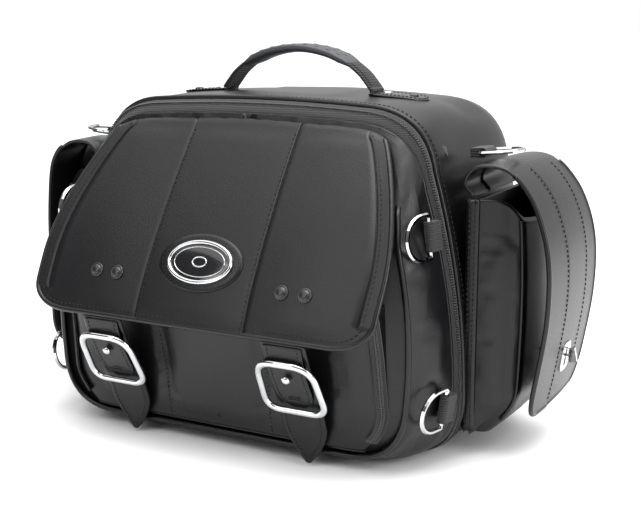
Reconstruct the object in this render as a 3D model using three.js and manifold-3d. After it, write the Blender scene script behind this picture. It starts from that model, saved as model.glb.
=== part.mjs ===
// A motorcycle tail bag: a stiff, zip-open case with a pocket on its front under a strapped flap,
// a flapped pocket on each side and a carrying handle on top.
// Millimetres, +Y to the back, +Z up, and +X to the right of someone facing the front.
// Depths are measured back from the badge on the front flap and heights up from the ground.
// The last lines move the whole group so that the origin is under the middle of the bag.
import * as THREE from "three";
import { mergeVertices } from "three/addons/utils/BufferGeometryUtils.js";
import Module from "manifold-3d";

const wasm = await Module();
wasm.setup();

// ---- driving dimensions ----
const LEATHER = 3; // thickness of a flap or a strap
const WALL = 5; // thickness of a padded wall
const GAP = 0.4; // clearance between sewn pieces
const CASE = { front: 103, rear: 263, height: 313, bottomHalf: 205, topHalf: 176 };
const CASE_BACK = { ...CASE, topHalf: 187 }; // the case's shoulders widen towards its back
const LID = { rear: 83, front: 32, height: 298, bottomHalf: 200, topHalf: 173 };
const SHELL = { bottomRadius: 56, topRadius: 60, crown: 4, bow: 15 }; // corners, arched top, bowed sides
const LID_FACE = { bottom: 12, height: 282, bottomHalf: 181, topHalf: 166 };
const ZIP_PLANE = 92.5; // where the two halves of the main zip meet
const FLAP_TOP = new THREE.Vector2(75, 284); // depth and height of the front flap's upper edge
const FLAP_BEND = new THREE.Vector2(-3, 181);
const FLAP_END = new THREE.Vector2(-24, 124);
const FLAP_HALF = { top: 136, middle: 173, corner: 34 };
const STRAP = { x: 93, half: 20, topZ: 121, tipZ: 4, topY: -23.5, tipY: 21, point: 34 };
const BUCKLE = { topHalf: 22.5, bottomHalf: 29, height: 54, bar: 3.2, centreZ: 80.5 };
const POCKET = {
  topZ: 150,
  bottomZ: 20.5,
  topHalf: 160,
  bottomHalf: 166,
  back: LID.front - 0.6,
  bottomFace: 26.5, // depth of its outside at the bottom and at the top
  topFace: 1,
  power: 1.15,
};
const SIDE = { front: 121, rear: 229, bottomZ: 20, topZ: 231, inner: 207.4, outer: 249, skew: 11 };
const SIDE_FLAP = { front: 110, rear: 235, flare: 9 };
// Each side flap's section, seen from the front: out from its fold and down the pocket's outside.
// The right-hand flap stands away from its pocket and the left-hand one lies close against it.
const SIDE_SECTION = {
  right: [[239.4, 255.4], [251, 245], [264, 226], [274, 198], [278, 168], [277, 130], [271, 88], [263, 45]],
  left: [
    [239.4, 255.4], [247.5, 249], [253, 239], [255.6, 226], [256.6, 198],
    [257, 168], [257, 130], [257, 88], [256.4, 45],
  ],
};
const SIDE_ROOT = [[205, 234.5], [197.6, 243], [200, 252.5], [208, 259], [222, 260.5], [236.6, 257.4]];
const LOCK = {
  right: { x: 270.8, z: 85, lean: 0.14, footZ: 81.2, knobLean: -0.2, stem: 23.4 },
  left: { x: 257, z: 85, lean: 0, footZ: 84, knobLean: -0.04, stem: 8.6 },
};
const LOCK_BASE = { y: 175, thick: 3 };
const RING = { width: 41, depth: 37, wire: 2.1 };
const HANDLE = { y: 180, width: 25, thick: 3.4, top: 357.5 };

// ---- closed meshes from rings of points ----
function closedGeometry(points, faces) {
  let volume = 0;
  for (const [a, b, c] of faces) {
    volume += points[a].dot(new THREE.Vector3().crossVectors(points[b], points[c]));
  }
  const index = faces.flatMap(([a, b, c]) => (volume > 0 ? [a, b, c] : [a, c, b]));
  const geometry = new THREE.BufferGeometry();
  const values = points.flatMap((p) => p.toArray());
  geometry.setAttribute("position", new THREE.Float32BufferAttribute(values, 3));
  geometry.setIndex(index);
  geometry.computeVertexNormals();
  return geometry;
}

// Rungs across a ring that is the same on the left as on the right, so that its cap follows the ring.
function ladderCap(start, count, flipped) {
  const faces = [];
  const last = count - 1;
  for (let k = 0; k < count / 2 - 1; k += 1) {
    const [a, b, c, d] = [start + k, start + k + 1, start + last - k - 1, start + last - k];
    const rung = [[a, b, c], [a, c, d]];
    faces.push(...(flipped ? rung.map(([p, q, r]) => [p, r, q]) : rung));
  }
  return faces;
}

// A skin over rings with equal numbers of points: capped at both ends, or joined up as a loop.
function skin(rings, joined = false) {
  const count = rings[0].length;
  const faces = [];
  const spans = joined ? rings.length : rings.length - 1;
  for (let r = 0; r < spans; r += 1) {
    const [here, next] = [r * count, ((r + 1) % rings.length) * count];
    for (let k = 0; k < count; k += 1) {
      const l = (k + 1) % count;
      faces.push([here + k, here + l, next + l], [here + k, next + l, next + k]);
    }
  }
  if (!joined) {
    faces.push(...ladderCap(0, count, true), ...ladderCap((rings.length - 1) * count, count, false));
  }
  return closedGeometry(rings.flat(), faces);
}

// A bent sheet: face(u, v) gives its outer face for u and v from 0 to 1, and thick goes behind it.
function sheet(face, across, along, thick) {
  const points = [];
  const step = 1e-3;
  for (const depth of [0, thick]) {
    for (let j = 0; j <= along; j += 1) {
      for (let i = 0; i <= across; i += 1) {
        const [u, v] = [i / across, j / along];
        const [u1, v1] = [Math.min(u + step, 1), Math.min(v + step, 1)];
        const sideways = face(u1, v).sub(face(u1 - step, v));
        const onwards = face(0.5, v1).sub(face(0.5, v1 - step));
        const normal = sideways.cross(onwards).normalize();
        points.push(face(u, v).addScaledVector(normal, depth));
      }
    }
  }
  const faces = [];
  const row = across + 1;
  const layer = row * (along + 1);
  for (let j = 0; j < along; j += 1) {
    for (let i = 0; i < across; i += 1) {
      const a = j * row + i;
      const [b, c, d] = [a + 1, a + row + 1, a + row];
      faces.push([a, b, c], [a, c, d]);
      faces.push([a + layer, c + layer, b + layer], [a + layer, d + layer, c + layer]);
    }
  }
  const rim = [];
  for (let i = 0; i < across; i += 1) rim.push(i);
  for (let j = 0; j < along; j += 1) rim.push(j * row + across);
  for (let i = across; i > 0; i -= 1) rim.push(along * row + i);
  for (let j = along; j > 0; j -= 1) rim.push(j * row);
  rim.forEach((a, k) => {
    const b = rim[(k + 1) % rim.length];
    faces.push([a, a + layer, b + layer], [a, b + layer, b]);
  });
  return closedGeometry(points, faces);
}

// A round wire bent along a closed loop of points that lies in a plane with the given normal.
function wireLoop(points, normal, radius, sides = 8) {
  const rings = points.map((point, k) => {
    const before = points[(k + points.length - 1) % points.length];
    const after = points[(k + 1) % points.length];
    const inward = new THREE.Vector3().crossVectors(normal, after.clone().sub(before)).normalize();
    return Array.from({ length: sides }, (_, s) => {
      const angle = (2 * Math.PI * s) / sides;
      return point
        .clone()
        .addScaledVector(inward, radius * Math.cos(angle))
        .addScaledVector(normal, radius * Math.sin(angle));
    });
  });
  return skin(rings, true);
}

// Plan points of a box with round corners, from the middle of one side round to the same place,
// the same on the left as on the right.
function roundedHalf(bottom, top, bottomHalf, topHalf, bottomRadius, topRadius, crown = 0, bow = 0) {
  const path = new THREE.Path();
  path.moveTo(0, bottom);
  path.lineTo(bottomHalf - bottomRadius, bottom);
  path.quadraticCurveTo(bottomHalf, bottom, bottomHalf + 1, bottom + bottomRadius);
  const [sideX, sideZ] = [(bottomHalf + topHalf) / 2 + bow, (bottom + bottomRadius + top - topRadius) / 2];
  if (bow) path.quadraticCurveTo(sideX, sideZ, topHalf, top - topRadius);
  else path.lineTo(topHalf, top - topRadius);
  path.quadraticCurveTo(topHalf - 2 * crown, top - 2.2 * crown, topHalf - topRadius, top - crown);
  path.quadraticCurveTo((topHalf - topRadius) / 2, top, 0, top);
  const right = path.getPoints(5);
  const left = right.map((p) => new THREE.Vector2(-p.x, p.y)).reverse();
  right[0].x = 0.01;
  left[left.length - 1].x = -0.01;
  right[right.length - 1].x = 0.01;
  left[0].x = -0.01;
  return [...right, ...left];
}

// A ring of the outline, stood up at the depth that depthAt gives for each height.
function standing(outline, depthAt) {
  return outline.map((p) => new THREE.Vector3(p.x, depthAt(p.y), p.y));
}

// The rounded outline of the case or the lid, drawn in by inset.
function shellOutline(size, bottom, inset) {
  return roundedHalf(
    bottom + inset,
    size.height - inset,
    size.bottomHalf - inset,
    size.topHalf - inset,
    SHELL.bottomRadius - inset,
    SHELL.topRadius - inset,
    SHELL.crown,
    SHELL.bow,
  );
}

// ---- solids joined and cut ----
function solid(geometry) {
  const bare = geometry.clone();
  bare.deleteAttribute("normal");
  bare.deleteAttribute("uv");
  const merged = mergeVertices(bare, 1e-4);
  return new wasm.Manifold(
    new wasm.Mesh({
      numProp: 3,
      vertProperties: merged.attributes.position.array,
      triVerts: new Uint32Array(merged.index.array),
    }),
  );
}

function fromSolid(made) {
  const mesh = made.getMesh();
  const geometry = new THREE.BufferGeometry();
  geometry.setAttribute("position", new THREE.Float32BufferAttribute(mesh.vertProperties, 3));
  geometry.setIndex(Array.from(mesh.triVerts));
  geometry.computeVertexNormals();
  return geometry;
}

function plate(shape, thick, divisions = 8) {
  return new THREE.ExtrudeGeometry(shape, { depth: thick, bevelEnabled: false, curveSegments: divisions });
}

function roundedPlateShape(halfWidth, halfHeight, radius) {
  const shape = new THREE.Shape();
  shape.moveTo(-halfWidth + radius, -halfHeight);
  shape.lineTo(halfWidth - radius, -halfHeight);
  shape.quadraticCurveTo(halfWidth, -halfHeight, halfWidth, -halfHeight + radius);
  shape.lineTo(halfWidth, halfHeight - radius);
  shape.quadraticCurveTo(halfWidth, halfHeight, halfWidth - radius, halfHeight);
  shape.lineTo(-halfWidth + radius, halfHeight);
  shape.quadraticCurveTo(-halfWidth, halfHeight, -halfWidth, halfHeight - radius);
  shape.lineTo(-halfWidth, -halfHeight + radius);
  shape.quadraticCurveTo(-halfWidth, -halfHeight, -halfWidth + radius, -halfHeight);
  return shape;
}

function ellipseShape(halfWidth, halfHeight) {
  const shape = new THREE.Shape();
  shape.absellipse(0, 0, halfWidth, halfHeight, 0, 2 * Math.PI, false);
  return shape;
}

// ---- materials ----
const FINISH = {
  leather: { color: 0x1c1d20, roughness: 0.45, metalness: 0 },
  lining: { color: 0x141414, roughness: 0.9, metalness: 0 },
  webbing: { color: 0x17181a, roughness: 0.85, metalness: 0 },
  rubber: { color: 0x2b2e33, roughness: 0.7, metalness: 0 },
  plastic: { color: 0x121315, roughness: 0.4, metalness: 0 },
  chrome: { color: 0xd9dcdf, roughness: 0.08, metalness: 1 },
};

const bag = new THREE.Group();

function add(name, geometry, finish, place) {
  const mesh = new THREE.Mesh(geometry, new THREE.MeshStandardMaterial(FINISH[finish]));
  mesh.name = name;
  if (place) place(mesh);
  bag.add(mesh);
  return mesh;
}

// ---- the case: a padded tube with a stiff back and base, open at the front ----
const caseOuter = shellOutline(CASE, 0, 0);
const caseInner = shellOutline(CASE, 0, WALL);
const backOuter = shellOutline(CASE_BACK, 0, 0);
const backInner = shellOutline(CASE_BACK, 0, WALL);
add(
  "case_shell",
  skin(
    [
      standing(caseOuter, () => CASE.front),
      standing(backOuter, () => CASE.rear - WALL - GAP),
      standing(backInner, () => CASE.rear - WALL - GAP),
      standing(caseInner, () => CASE.front),
    ],
    true,
  ),
  "leather",
);
add(
  "back_panel",
  skin([standing(backOuter, () => CASE.rear - WALL), standing(backOuter, () => CASE.rear)]),
  "leather",
);
const BASE_BOARD = { half: 140, thick: 3 };
add(
  "base_board",
  new THREE.BoxGeometry(2 * BASE_BOARD.half, CASE.rear - CASE.front - 4 * WALL, BASE_BOARD.thick),
  "lining",
  (m) => m.position.set(0, (CASE.front + CASE.rear) / 2, WALL + BASE_BOARD.thick / 2 + GAP),
);

// ---- the main zip: one half on the case and one on the lid ----
function zipHalf(name, size, from, to) {
  const outer = shellOutline(size, 1, 2);
  const inner = shellOutline(size, 1, 5);
  const rings = [
    standing(outer, () => from),
    standing(outer, () => to),
    standing(inner, () => to),
    standing(inner, () => from),
  ];
  add(name, skin(rings, true), "webbing");
}
const ZIP_SIZE = { height: 308, bottomHalf: 205, topHalf: 175 };
const PIPING = 2; // radius of the cord in a seam
const LID_BOTTOM = 1.6; // the lid hangs this far above the ground
zipHalf("case_zip", ZIP_SIZE, ZIP_PLANE + GAP, CASE.front - 2 * (PIPING + GAP));
zipHalf("lid_zip", ZIP_SIZE, LID.rear + 2 * (PIPING + GAP), ZIP_PLANE - GAP);
function seamPiping(name, size, bottom, y) {
  const path = standing(shellOutline(size, bottom, PIPING + 0.2), () => y).filter((p) => Math.abs(p.x) > 1);
  add(name, wireLoop(path, new THREE.Vector3(0, 1, 0), PIPING, 6), "leather");
}
seamPiping("case_piping", CASE, 0, CASE.front - PIPING - GAP);
seamPiping("lid_piping", LID, LID_BOTTOM, LID.rear + PIPING + GAP);

// ---- the lid: the gusset behind the front pocket, with its front wall ----
// Depth of the lid's front wall: upright behind the pocket, then leaning back under the flap.
const LEAN = { from: 196, power: 1.1 };
function lidDepth(height) {
  const climbed = Math.max(0, height - LEAN.from) / (LID_FACE.height - LEAN.from);
  return THREE.MathUtils.lerp(LID.front, LID.rear - 2, Math.pow(climbed, LEAN.power));
}
const lidRear = (inset) => standing(shellOutline(LID, LID_BOTTOM, inset), () => LID.rear);
const lidFront = (inset) => standing(
  shellOutline(LID_FACE, LID_FACE.bottom, inset),
  (z) => Math.min(lidDepth(z) + 0.8 * inset, LID.rear - 1),
);
add("lid_shell", skin([lidFront(0), lidRear(0), lidRear(WALL), lidFront(WALL)]), "leather");

// ---- the front pocket: a tub on the lid, open along its top under the flap ----
function pocketFaceDepth(height) {
  const climbed = (height - POCKET.bottomZ) / (POCKET.topZ - POCKET.bottomZ);
  return THREE.MathUtils.lerp(POCKET.bottomFace, POCKET.topFace, Math.pow(climbed, POCKET.power));
}
function pocketRing(height, inset) {
  const t = (height - POCKET.bottomZ) / (POCKET.topZ - POCKET.bottomZ);
  const corner = 51 * Math.pow(Math.max(0, 1 - height / 60), 2);
  const half = THREE.MathUtils.lerp(POCKET.bottomHalf, POCKET.topHalf, t) - inset - corner;
  const face = pocketFaceDepth(height) + inset;
  const back = POCKET.back - inset * 0.6;
  const turn = Math.min(20, (back - face) * 0.95);
  const right = [new THREE.Vector2(0.01, face)];
  const bend = new THREE.QuadraticBezierCurve(
    new THREE.Vector2(half - 26, face),
    new THREE.Vector2(half, face + turn * 0.15),
    new THREE.Vector2(half, face + turn),
  );
  right.push(...bend.getPoints(6), new THREE.Vector2(half, back), new THREE.Vector2(0.01, back));
  const left = right.map((p) => new THREE.Vector2(-p.x, p.y)).reverse();
  return [...right, ...left].map((p) => new THREE.Vector3(p.x, p.y, height));
}
const POCKET_WALL = 2.4;
const pocketHeights = [POCKET.bottomZ, 25, 31, 40, 52, 75, 100, 125, POCKET.topZ];
const pocketOutside = pocketHeights.map((h) => pocketRing(h, 0));
const pocketInside = pocketHeights.slice(3).map((h) => pocketRing(h, POCKET_WALL));
add("front_pocket", skin([...pocketOutside, ...pocketInside.reverse()]), "leather");

// Piping along the edge of the lid's front wall, up both sides to where the flap covers it.
function cord(path, radius, sides = 6) {
  const forward = new THREE.Vector3(0, -1, 0);
  const rings = path.map((point, k) => {
    const ahead = path[Math.min(k + 1, path.length - 1)].clone().sub(path[Math.max(k - 1, 0)]).normalize();
    const across = new THREE.Vector3().crossVectors(ahead, forward).normalize();
    const out = new THREE.Vector3().crossVectors(across, ahead);
    return Array.from({ length: sides }, (_, n) => {
      const angle = (2 * Math.PI * n) / sides;
      return point
        .clone()
        .addScaledVector(across, radius * Math.cos(angle))
        .addScaledVector(out, radius * Math.sin(angle));
    });
  });
  return skin(rings);
}
const pipingTop = 205;
const edge = shellOutline(LID_FACE, LID_FACE.bottom, 3)
  .filter((p) => Math.abs(p.x) > 1 && p.y < pipingTop)
  .map((p) => new THREE.Vector3(p.x, lidDepth(p.y) - PIPING - GAP, p.y));
const climb = edge.filter((p) => p.x > 0);
const descent = edge.filter((p) => p.x < 0);
const sideTop = (sign) => new THREE.Vector3(sign * 160, lidDepth(pipingTop) - PIPING - GAP, pipingTop);
add("pocket_piping", cord([sideTop(-1), ...descent, ...climb, sideTop(1)], PIPING), "leather");
for (const side of [-1, 1]) {
  const chain = [46, 60, 80, 100, 120, 140].map((height) => {
    const ring = pocketRing(height, -2.6);
    const corner = ring[4];
    return new THREE.Vector3(side * corner.x, corner.y, height);
  });
  add(`pocket_zip_${side < 0 ? "left" : "right"}`, cord(chain, 2), "webbing");
}

// ---- the front flap ----
const flapProfile = new THREE.QuadraticBezierCurve(FLAP_TOP, FLAP_BEND, FLAP_END);
function flapHalf(v) {
  const widest = 0.62;
  const grown = Math.sin((Math.min(v / widest, 1) * Math.PI) / 2);
  const half = THREE.MathUtils.lerp(FLAP_HALF.top, FLAP_HALF.middle, Math.pow(grown, 0.77));
  const cornerStart = 0.82;
  const c = Math.max(0, (v - cornerStart) / (1 - cornerStart));
  const rounded = FLAP_HALF.corner * (1 - Math.sqrt(1 - Math.min(c * c, 0.9999)));
  return half - 6 * Math.max(0, v - widest) - rounded;
}
function flapFace(u, v) {
  const p = flapProfile.getPoint(v);
  return new THREE.Vector3((2 * u - 1) * flapHalf(v), p.x, p.y);
}
// Where the flap's outer face lies at a height, with the outward lean there.
function flapAt(height) {
  let [low, high] = [0, 1];
  for (let k = 0; k < 30; k += 1) {
    const middle = (low + high) / 2;
    if (flapProfile.getPoint(middle).y > height) low = middle;
    else high = middle;
  }
  const tangent = flapProfile.getTangent(low);
  return { y: flapProfile.getPoint(low).x, lean: Math.atan2(tangent.x, -tangent.y) };
}
add("front_flap", sheet(flapFace, 8, 16, LEATHER), "leather");

// A piece that sits on the flap's outer face, its own +Z pointing straight out of the flap.
function onFlap(x, height, proud) {
  return (mesh) => {
    const { y, lean } = flapAt(height);
    mesh.rotation.set(Math.PI / 2 + lean, 0, 0);
    const out = new THREE.Vector3(0, -Math.cos(lean), -Math.sin(lean));
    mesh.position.set(x, y, height).addScaledVector(out, proud);
  };
}
const BADGE = { half: 32.5, halfHeight: 19, rim: 3.2, thick: 2.6, height: 175 };
add(
  "badge_rim",
  fromSolid(
    solid(plate(ellipseShape(BADGE.half, BADGE.halfHeight), BADGE.thick, 18)).subtract(
      solid(
        plate(ellipseShape(BADGE.half - BADGE.rim, BADGE.halfHeight - BADGE.rim), 4 * BADGE.thick, 18)
          .translate(0, 0, -BADGE.thick),
      ),
    ),
  ),
  "chrome",
  onFlap(0, BADGE.height, GAP),
);
add(
  "badge_plate",
  plate(ellipseShape(BADGE.half - BADGE.rim - GAP, BADGE.halfHeight - BADGE.rim - GAP), 1.4, 18),
  "plastic",
  onFlap(0, BADGE.height, GAP),
);
const RIVET = { radius: 6.2, height: 160, columns: [84.5, 106.8] };
function rivetCap() {
  const profile = [[0, 0], [RIVET.radius, 0], [RIVET.radius, 1], [4.6, 2.1], [0, 2.4]];
  return new THREE.LatheGeometry(profile.map(([x, y]) => new THREE.Vector2(x, y)), 16).rotateX(Math.PI / 2);
}
for (const side of [-1, 1]) {
  RIVET.columns.forEach((x, k) => {
    const name = `flap_rivet_${side < 0 ? "left" : "right"}_${k ? "outer" : "inner"}`;
    add(name, rivetCap(), "plastic", onFlap(side * x, RIVET.height, GAP));
  });
}

// ---- the two straps with their buckles, and the hidden clips behind them ----
function strapDepth(height) {
  const drop = (STRAP.topZ - height) / (STRAP.topZ - STRAP.tipZ);
  return STRAP.topY + (STRAP.tipY - STRAP.topY) * Math.sin((Math.PI / 2) * Math.pow(drop, 1.22));
}
function strapFace(u, v) {
  const height = THREE.MathUtils.lerp(STRAP.topZ, STRAP.tipZ, v);
  const toTip = Math.max(0, 1 - (height - STRAP.tipZ) / STRAP.point);
  const half = STRAP.half * (1 - 0.9 * Math.pow(toTip, 1.8));
  return new THREE.Vector3((2 * u - 1) * half, strapDepth(height), height);
}
const STUD = { above: 11.5, neck: 2.2, head: 3.6, length: 7 };
function buckleGeometry() {
  const outline = roundedHalf(
    -BUCKLE.height / 2,
    BUCKLE.height / 2,
    BUCKLE.bottomHalf,
    BUCKLE.topHalf + 4,
    12,
    20,
    0,
  );
  const loop = outline
    .filter((p) => Math.abs(p.x) > 1)
    .map((p) => new THREE.Vector3(p.x, p.y, 0));
  return wireLoop(loop, new THREE.Vector3(0, 0, 1), BUCKLE.bar, 6);
}
function studGeometry() {
  const { neck, head, length } = STUD;
  const shank = [[0, 0], [neck, 0], [neck, 0.3 * length]];
  const profile = [...shank, [head, 0.5 * length], [head, 0.8 * length], [0, length]];
  return new THREE.LatheGeometry(profile.map(([r, y]) => new THREE.Vector2(r, y)), 14).rotateX(Math.PI / 2);
}
// The strap's own lean at a height: how far it faces down as well as forwards.
function strapLean(height) {
  return Math.atan2(strapDepth(height - 12) - strapDepth(height + 12), 24);
}
const CLIP = { half: 14, socketHeight: 24, socketThick: 4.6, plugHeight: 22, plugThick: 4.6, web: 1.4 };
const CLIP_PLACE = { socketZ: 55, plugZ: 82, webTop: 24 };
// The plug with the webbing that ties it to the back of the strap.
function plugGeometry() {
  const body = plate(roundedPlateShape(CLIP.half - 2, CLIP.plugHeight / 2, 3), CLIP.plugThick, 4);
  const web = new THREE.BoxGeometry(2 * CLIP.half - 6, CLIP_PLACE.webTop, CLIP.web)
    .translate(0, CLIP_PLACE.webTop / 2, CLIP.plugThick);
  return fromSolid(solid(body).add(solid(web)));
}
for (const side of [-1, 1]) {
  const hand = side < 0 ? "left" : "right";
  const x = side * STRAP.x;
  // Something laid on the strap or the pocket: behind is how far its back lies behind the strap's face.
  const lay = (z, lean, y) => (m) => {
    m.rotation.set(Math.PI / 2 + lean, 0, 0);
    m.position.set(x, y, z);
  };
  add(`strap_${hand}`, sheet(strapFace, 4, 16, LEATHER), "leather", (m) => m.position.set(x, 0, 0));
  const buckleY = strapDepth(BUCKLE.centreZ) - BUCKLE.bar - 2.2;
  add(`buckle_${hand}`, buckleGeometry(), "chrome", lay(BUCKLE.centreZ, strapLean(BUCKLE.centreZ), buckleY));
  const studZ = BUCKLE.centreZ + STUD.above;
  add(`strap_stud_${hand}`, studGeometry(), "chrome", lay(studZ, strapLean(studZ), strapDepth(studZ) - 0.8));
  const socket = plate(roundedPlateShape(CLIP.half, CLIP.socketHeight / 2, 4), CLIP.socketThick, 4);
  const { socketZ, plugZ } = CLIP_PLACE;
  const pocketLean = Math.atan2(pocketFaceDepth(socketZ - 12) - pocketFaceDepth(socketZ + 12), 24);
  add(`clip_socket_${hand}`, socket, "plastic", lay(socketZ, pocketLean, pocketFaceDepth(socketZ) - GAP));
  const plugY = strapDepth(plugZ) + LEATHER + CLIP.plugThick + CLIP.web + 2.4;
  add(`clip_plug_${hand}`, plugGeometry(), "plastic", lay(plugZ, strapLean(plugZ + 6), plugY));
}

// ---- wire D-rings on webbing loops ----
// Local frame: the straight bar lies along Z through the origin and the bow reaches towards -Y.
function ringGeometry() {
  const half = RING.width / 2 - RING.wire;
  const reach = RING.depth - 2 * RING.wire;
  const bow = new THREE.Path();
  bow.moveTo(0, -half);
  bow.lineTo(0, half);
  bow.lineTo(-reach * 0.35, half);
  bow.absellipse(-reach * 0.35, 0, reach * 0.65, half, Math.PI / 2, (3 * Math.PI) / 2, false);
  bow.closePath();
  const flat = bow.getSpacedPoints(28).slice(0, -1);
  const path = flat.map((p) => new THREE.Vector3(0, p.x, p.y));
  return wireLoop(path, new THREE.Vector3(1, 0, 0), RING.wire, 6);
}
const LOOP = { half: 12.5, radius: RING.wire + 0.7, thick: 1.6, tail: 11 };
// The webbing round the bar: a bent strap with a slot for the wire, its tail sewn behind.
function loopGeometry() {
  const outer = new THREE.Shape();
  const far = LOOP.radius + LOOP.thick;
  outer.moveTo(LOOP.tail, -far);
  outer.lineTo(0, -far);
  outer.absarc(0, 0, far, (3 * Math.PI) / 2, Math.PI / 2, true);
  outer.lineTo(LOOP.tail, far);
  outer.closePath();
  const bore = new THREE.Path();
  bore.absarc(0, 0, LOOP.radius, 0, 2 * Math.PI, false);
  outer.holes.push(bore);
  return plate(outer, 2 * LOOP.half, 10).translate(0, 0, -LOOP.half);
}
// Where each ring's bar lies, how it is turned about the upright and how it leans.
const gussetRings = [
  { name: "upper", x: 186.5, y: 62, z: 205, lean: -0.1 },
  { name: "lower", x: 202, y: 62, z: 58, lean: 0.16 },
];
function ringSet(name, place) {
  add(`${name}_loop`, loopGeometry(), "webbing", (m) => {
    place(m);
    m.rotateZ(Math.PI / 2);
  });
  add(`${name}_ring`, ringGeometry(), "chrome", place);
}
for (const side of [-1, 1]) {
  const hand = side < 0 ? "left" : "right";
  for (const ring of gussetRings) {
    ringSet(`${ring.name}_${hand}`, (m) => {
      m.position.set(side * ring.x, ring.y, ring.z);
      m.rotation.set(0, 0, 0);
      m.rotateY(side * ring.lean);
      m.rotateZ(side * -0.2);
    });
  }
}

// A ring lies on the root of each side flap, held by a loop on the shoulder of the case.
const SHOULDER_RING = { x: 202.5, y: 150, z: 268, rise: 0.1 };
for (const side of [-1, 1]) {
  ringSet(`shoulder_${side < 0 ? "left" : "right"}`, (m) => {
    m.position.set(side * SHOULDER_RING.x, SHOULDER_RING.y, SHOULDER_RING.z);
    m.rotation.set(Math.PI / 2, 0, 0);
    m.rotateZ(side * (Math.PI / 2 + SHOULDER_RING.rise));
  });
}

// ---- side pockets, their flaps and turn locks ----
function sidePocketRing(height, inset) {
  const inner = SIDE.inner + inset;
  const tuck = 26 * Math.pow(Math.max(0, 1 - (height - SIDE.bottomZ) / 46), 2);
  const outer = SIDE.outer - inset - tuck;
  const [front, rear] = [SIDE.front + inset, SIDE.rear - inset];
  const middle = (front + rear) / 2;
  const radius = 12;
  const half = [
    [inner, middle - 0.01],
    [inner, front - SIDE.skew],
    [outer - radius, front],
    [outer - radius * 0.3, front + radius * 0.3],
    [outer, front + radius],
    [outer, middle - 0.01],
  ];
  const other = half.map(([x, y]) => [x, 2 * middle - y]).reverse();
  return [...half, ...other].map(([x, y]) => new THREE.Vector3(x, y, height));
}
const sideHeights = [20, 26, 34, 46, 66, 110, 160, 200, SIDE.topZ];
function sidePocketGeometry() {
  return skin([
    ...sideHeights.map((h) => sidePocketRing(h, 0)),
    ...sideHeights.slice(1).map((h) => sidePocketRing(h, 3.2)).reverse(),
  ]);
}
function curveOf(section) {
  return new THREE.CatmullRomCurve3(section.map(([x, z]) => new THREE.Vector3(x, 0, z)));
}
const sideFlapFace = (curve) => (u, v) => {
  const p = curve.getPoint(v);
  const cornerStart = 0.86;
  const c = Math.max(0, (v - cornerStart) / (1 - cornerStart));
  const draw = 20 * (1 - Math.sqrt(1 - Math.min(c * c, 0.9999)));
  const flare = SIDE_FLAP.flare * Math.sin((Math.PI / 2) * Math.min(1, v / 0.5)) - draw;
  const y = THREE.MathUtils.lerp(SIDE_FLAP.front - flare, SIDE_FLAP.rear + flare, u);
  return new THREE.Vector3(p.x, y, p.z);
};
const sideRootCurve = curveOf(SIDE_ROOT);
function sideRootFace(u, v) {
  const p = sideRootCurve.getPoint(v);
  return new THREE.Vector3(p.x, THREE.MathUtils.lerp(SIDE_FLAP.front, SIDE_FLAP.rear, u), p.z);
}
// A piece on the side of the bag: its own +Z points outwards and falls by lean, its +X points down.
function onSide(x, z, lean) {
  return (m) => {
    m.position.set(x, LOCK_BASE.y, z);
    m.rotation.set(0, Math.PI / 2 + lean, 0);
  };
}
const SLOT = { half: 2.6, halfLength: 9 };
const PADDLE = { length: 13, width: 3.2, height: 7 };
function lockPlateGeometry() {
  const slot = plate(roundedPlateShape(SLOT.halfLength, SLOT.half, 2), 12, 4).translate(0, 0, -4);
  return fromSolid(solid(plate(roundedPlateShape(13.5, 12, 8), 1.6, 6)).subtract(solid(slot)));
}
function knobGeometry(stemLength) {
  const stem = new THREE.CylinderGeometry(1.5, 1.5, stemLength + 1, 12).rotateX(Math.PI / 2);
  stem.translate(0, 0, (stemLength + 1) / 2);
  const paddle = new THREE.BoxGeometry(PADDLE.length, PADDLE.width, PADDLE.height);
  paddle.translate(0, 0, stemLength + PADDLE.height / 2);
  return fromSolid(solid(stem).add(solid(paddle)));
}
function mirrored(geometry, side) {
  if (side > 0) return geometry;
  const flipped = geometry.clone().scale(-1, 1, 1);
  const merged = flipped.index ? flipped : mergeVertices(flipped);
  const index = Array.from(merged.index.array);
  for (let k = 0; k < index.length; k += 3) [index[k + 1], index[k + 2]] = [index[k + 2], index[k + 1]];
  merged.setIndex(index);
  return merged;
}
// A geometry taken to its place on the right-hand side, then mirrored for the left.
function sided(geometry, place, side) {
  const probe = new THREE.Object3D();
  place(probe);
  probe.updateMatrix();
  return mirrored(geometry.applyMatrix4(probe.matrix), side);
}
for (const side of [-1, 1]) {
  const hand = side < 0 ? "left" : "right";
  add(`side_pocket_${hand}`, mirrored(sidePocketGeometry(), side), "leather");
  add(`side_flap_root_${hand}`, mirrored(sheet(sideRootFace, 2, 12, LEATHER), side), "leather");
  const lock = LOCK[hand];
  const hole = new THREE.BoxGeometry(2 * SLOT.halfLength + 2, 2 * SLOT.half + 2, 30);
  const cut = sided(hole, onSide(lock.x, lock.z, lock.lean), 1);
  const leaf = sheet(sideFlapFace(curveOf(SIDE_SECTION[hand])), 6, 16, LEATHER);
  add(`side_flap_${hand}`, mirrored(fromSolid(solid(leaf).subtract(solid(cut))), side), "leather");
  const facing = sided(lockPlateGeometry(), onSide(lock.x + 0.9, lock.z, lock.lean), side);
  add(`lock_plate_${hand}`, facing, "chrome");
  const base = plate(roundedPlateShape(10, 10, 4), LOCK_BASE.thick, 4);
  const foot = SIDE.outer + GAP;
  add(`lock_base_${hand}`, sided(base, onSide(foot, lock.footZ, 0), side), "chrome");
  const knobPlace = onSide(foot + LOCK_BASE.thick + 0.6, lock.footZ, lock.knobLean);
  add(`lock_knob_${hand}`, sided(knobGeometry(lock.stem), knobPlace, side), "chrome");
}

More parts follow.
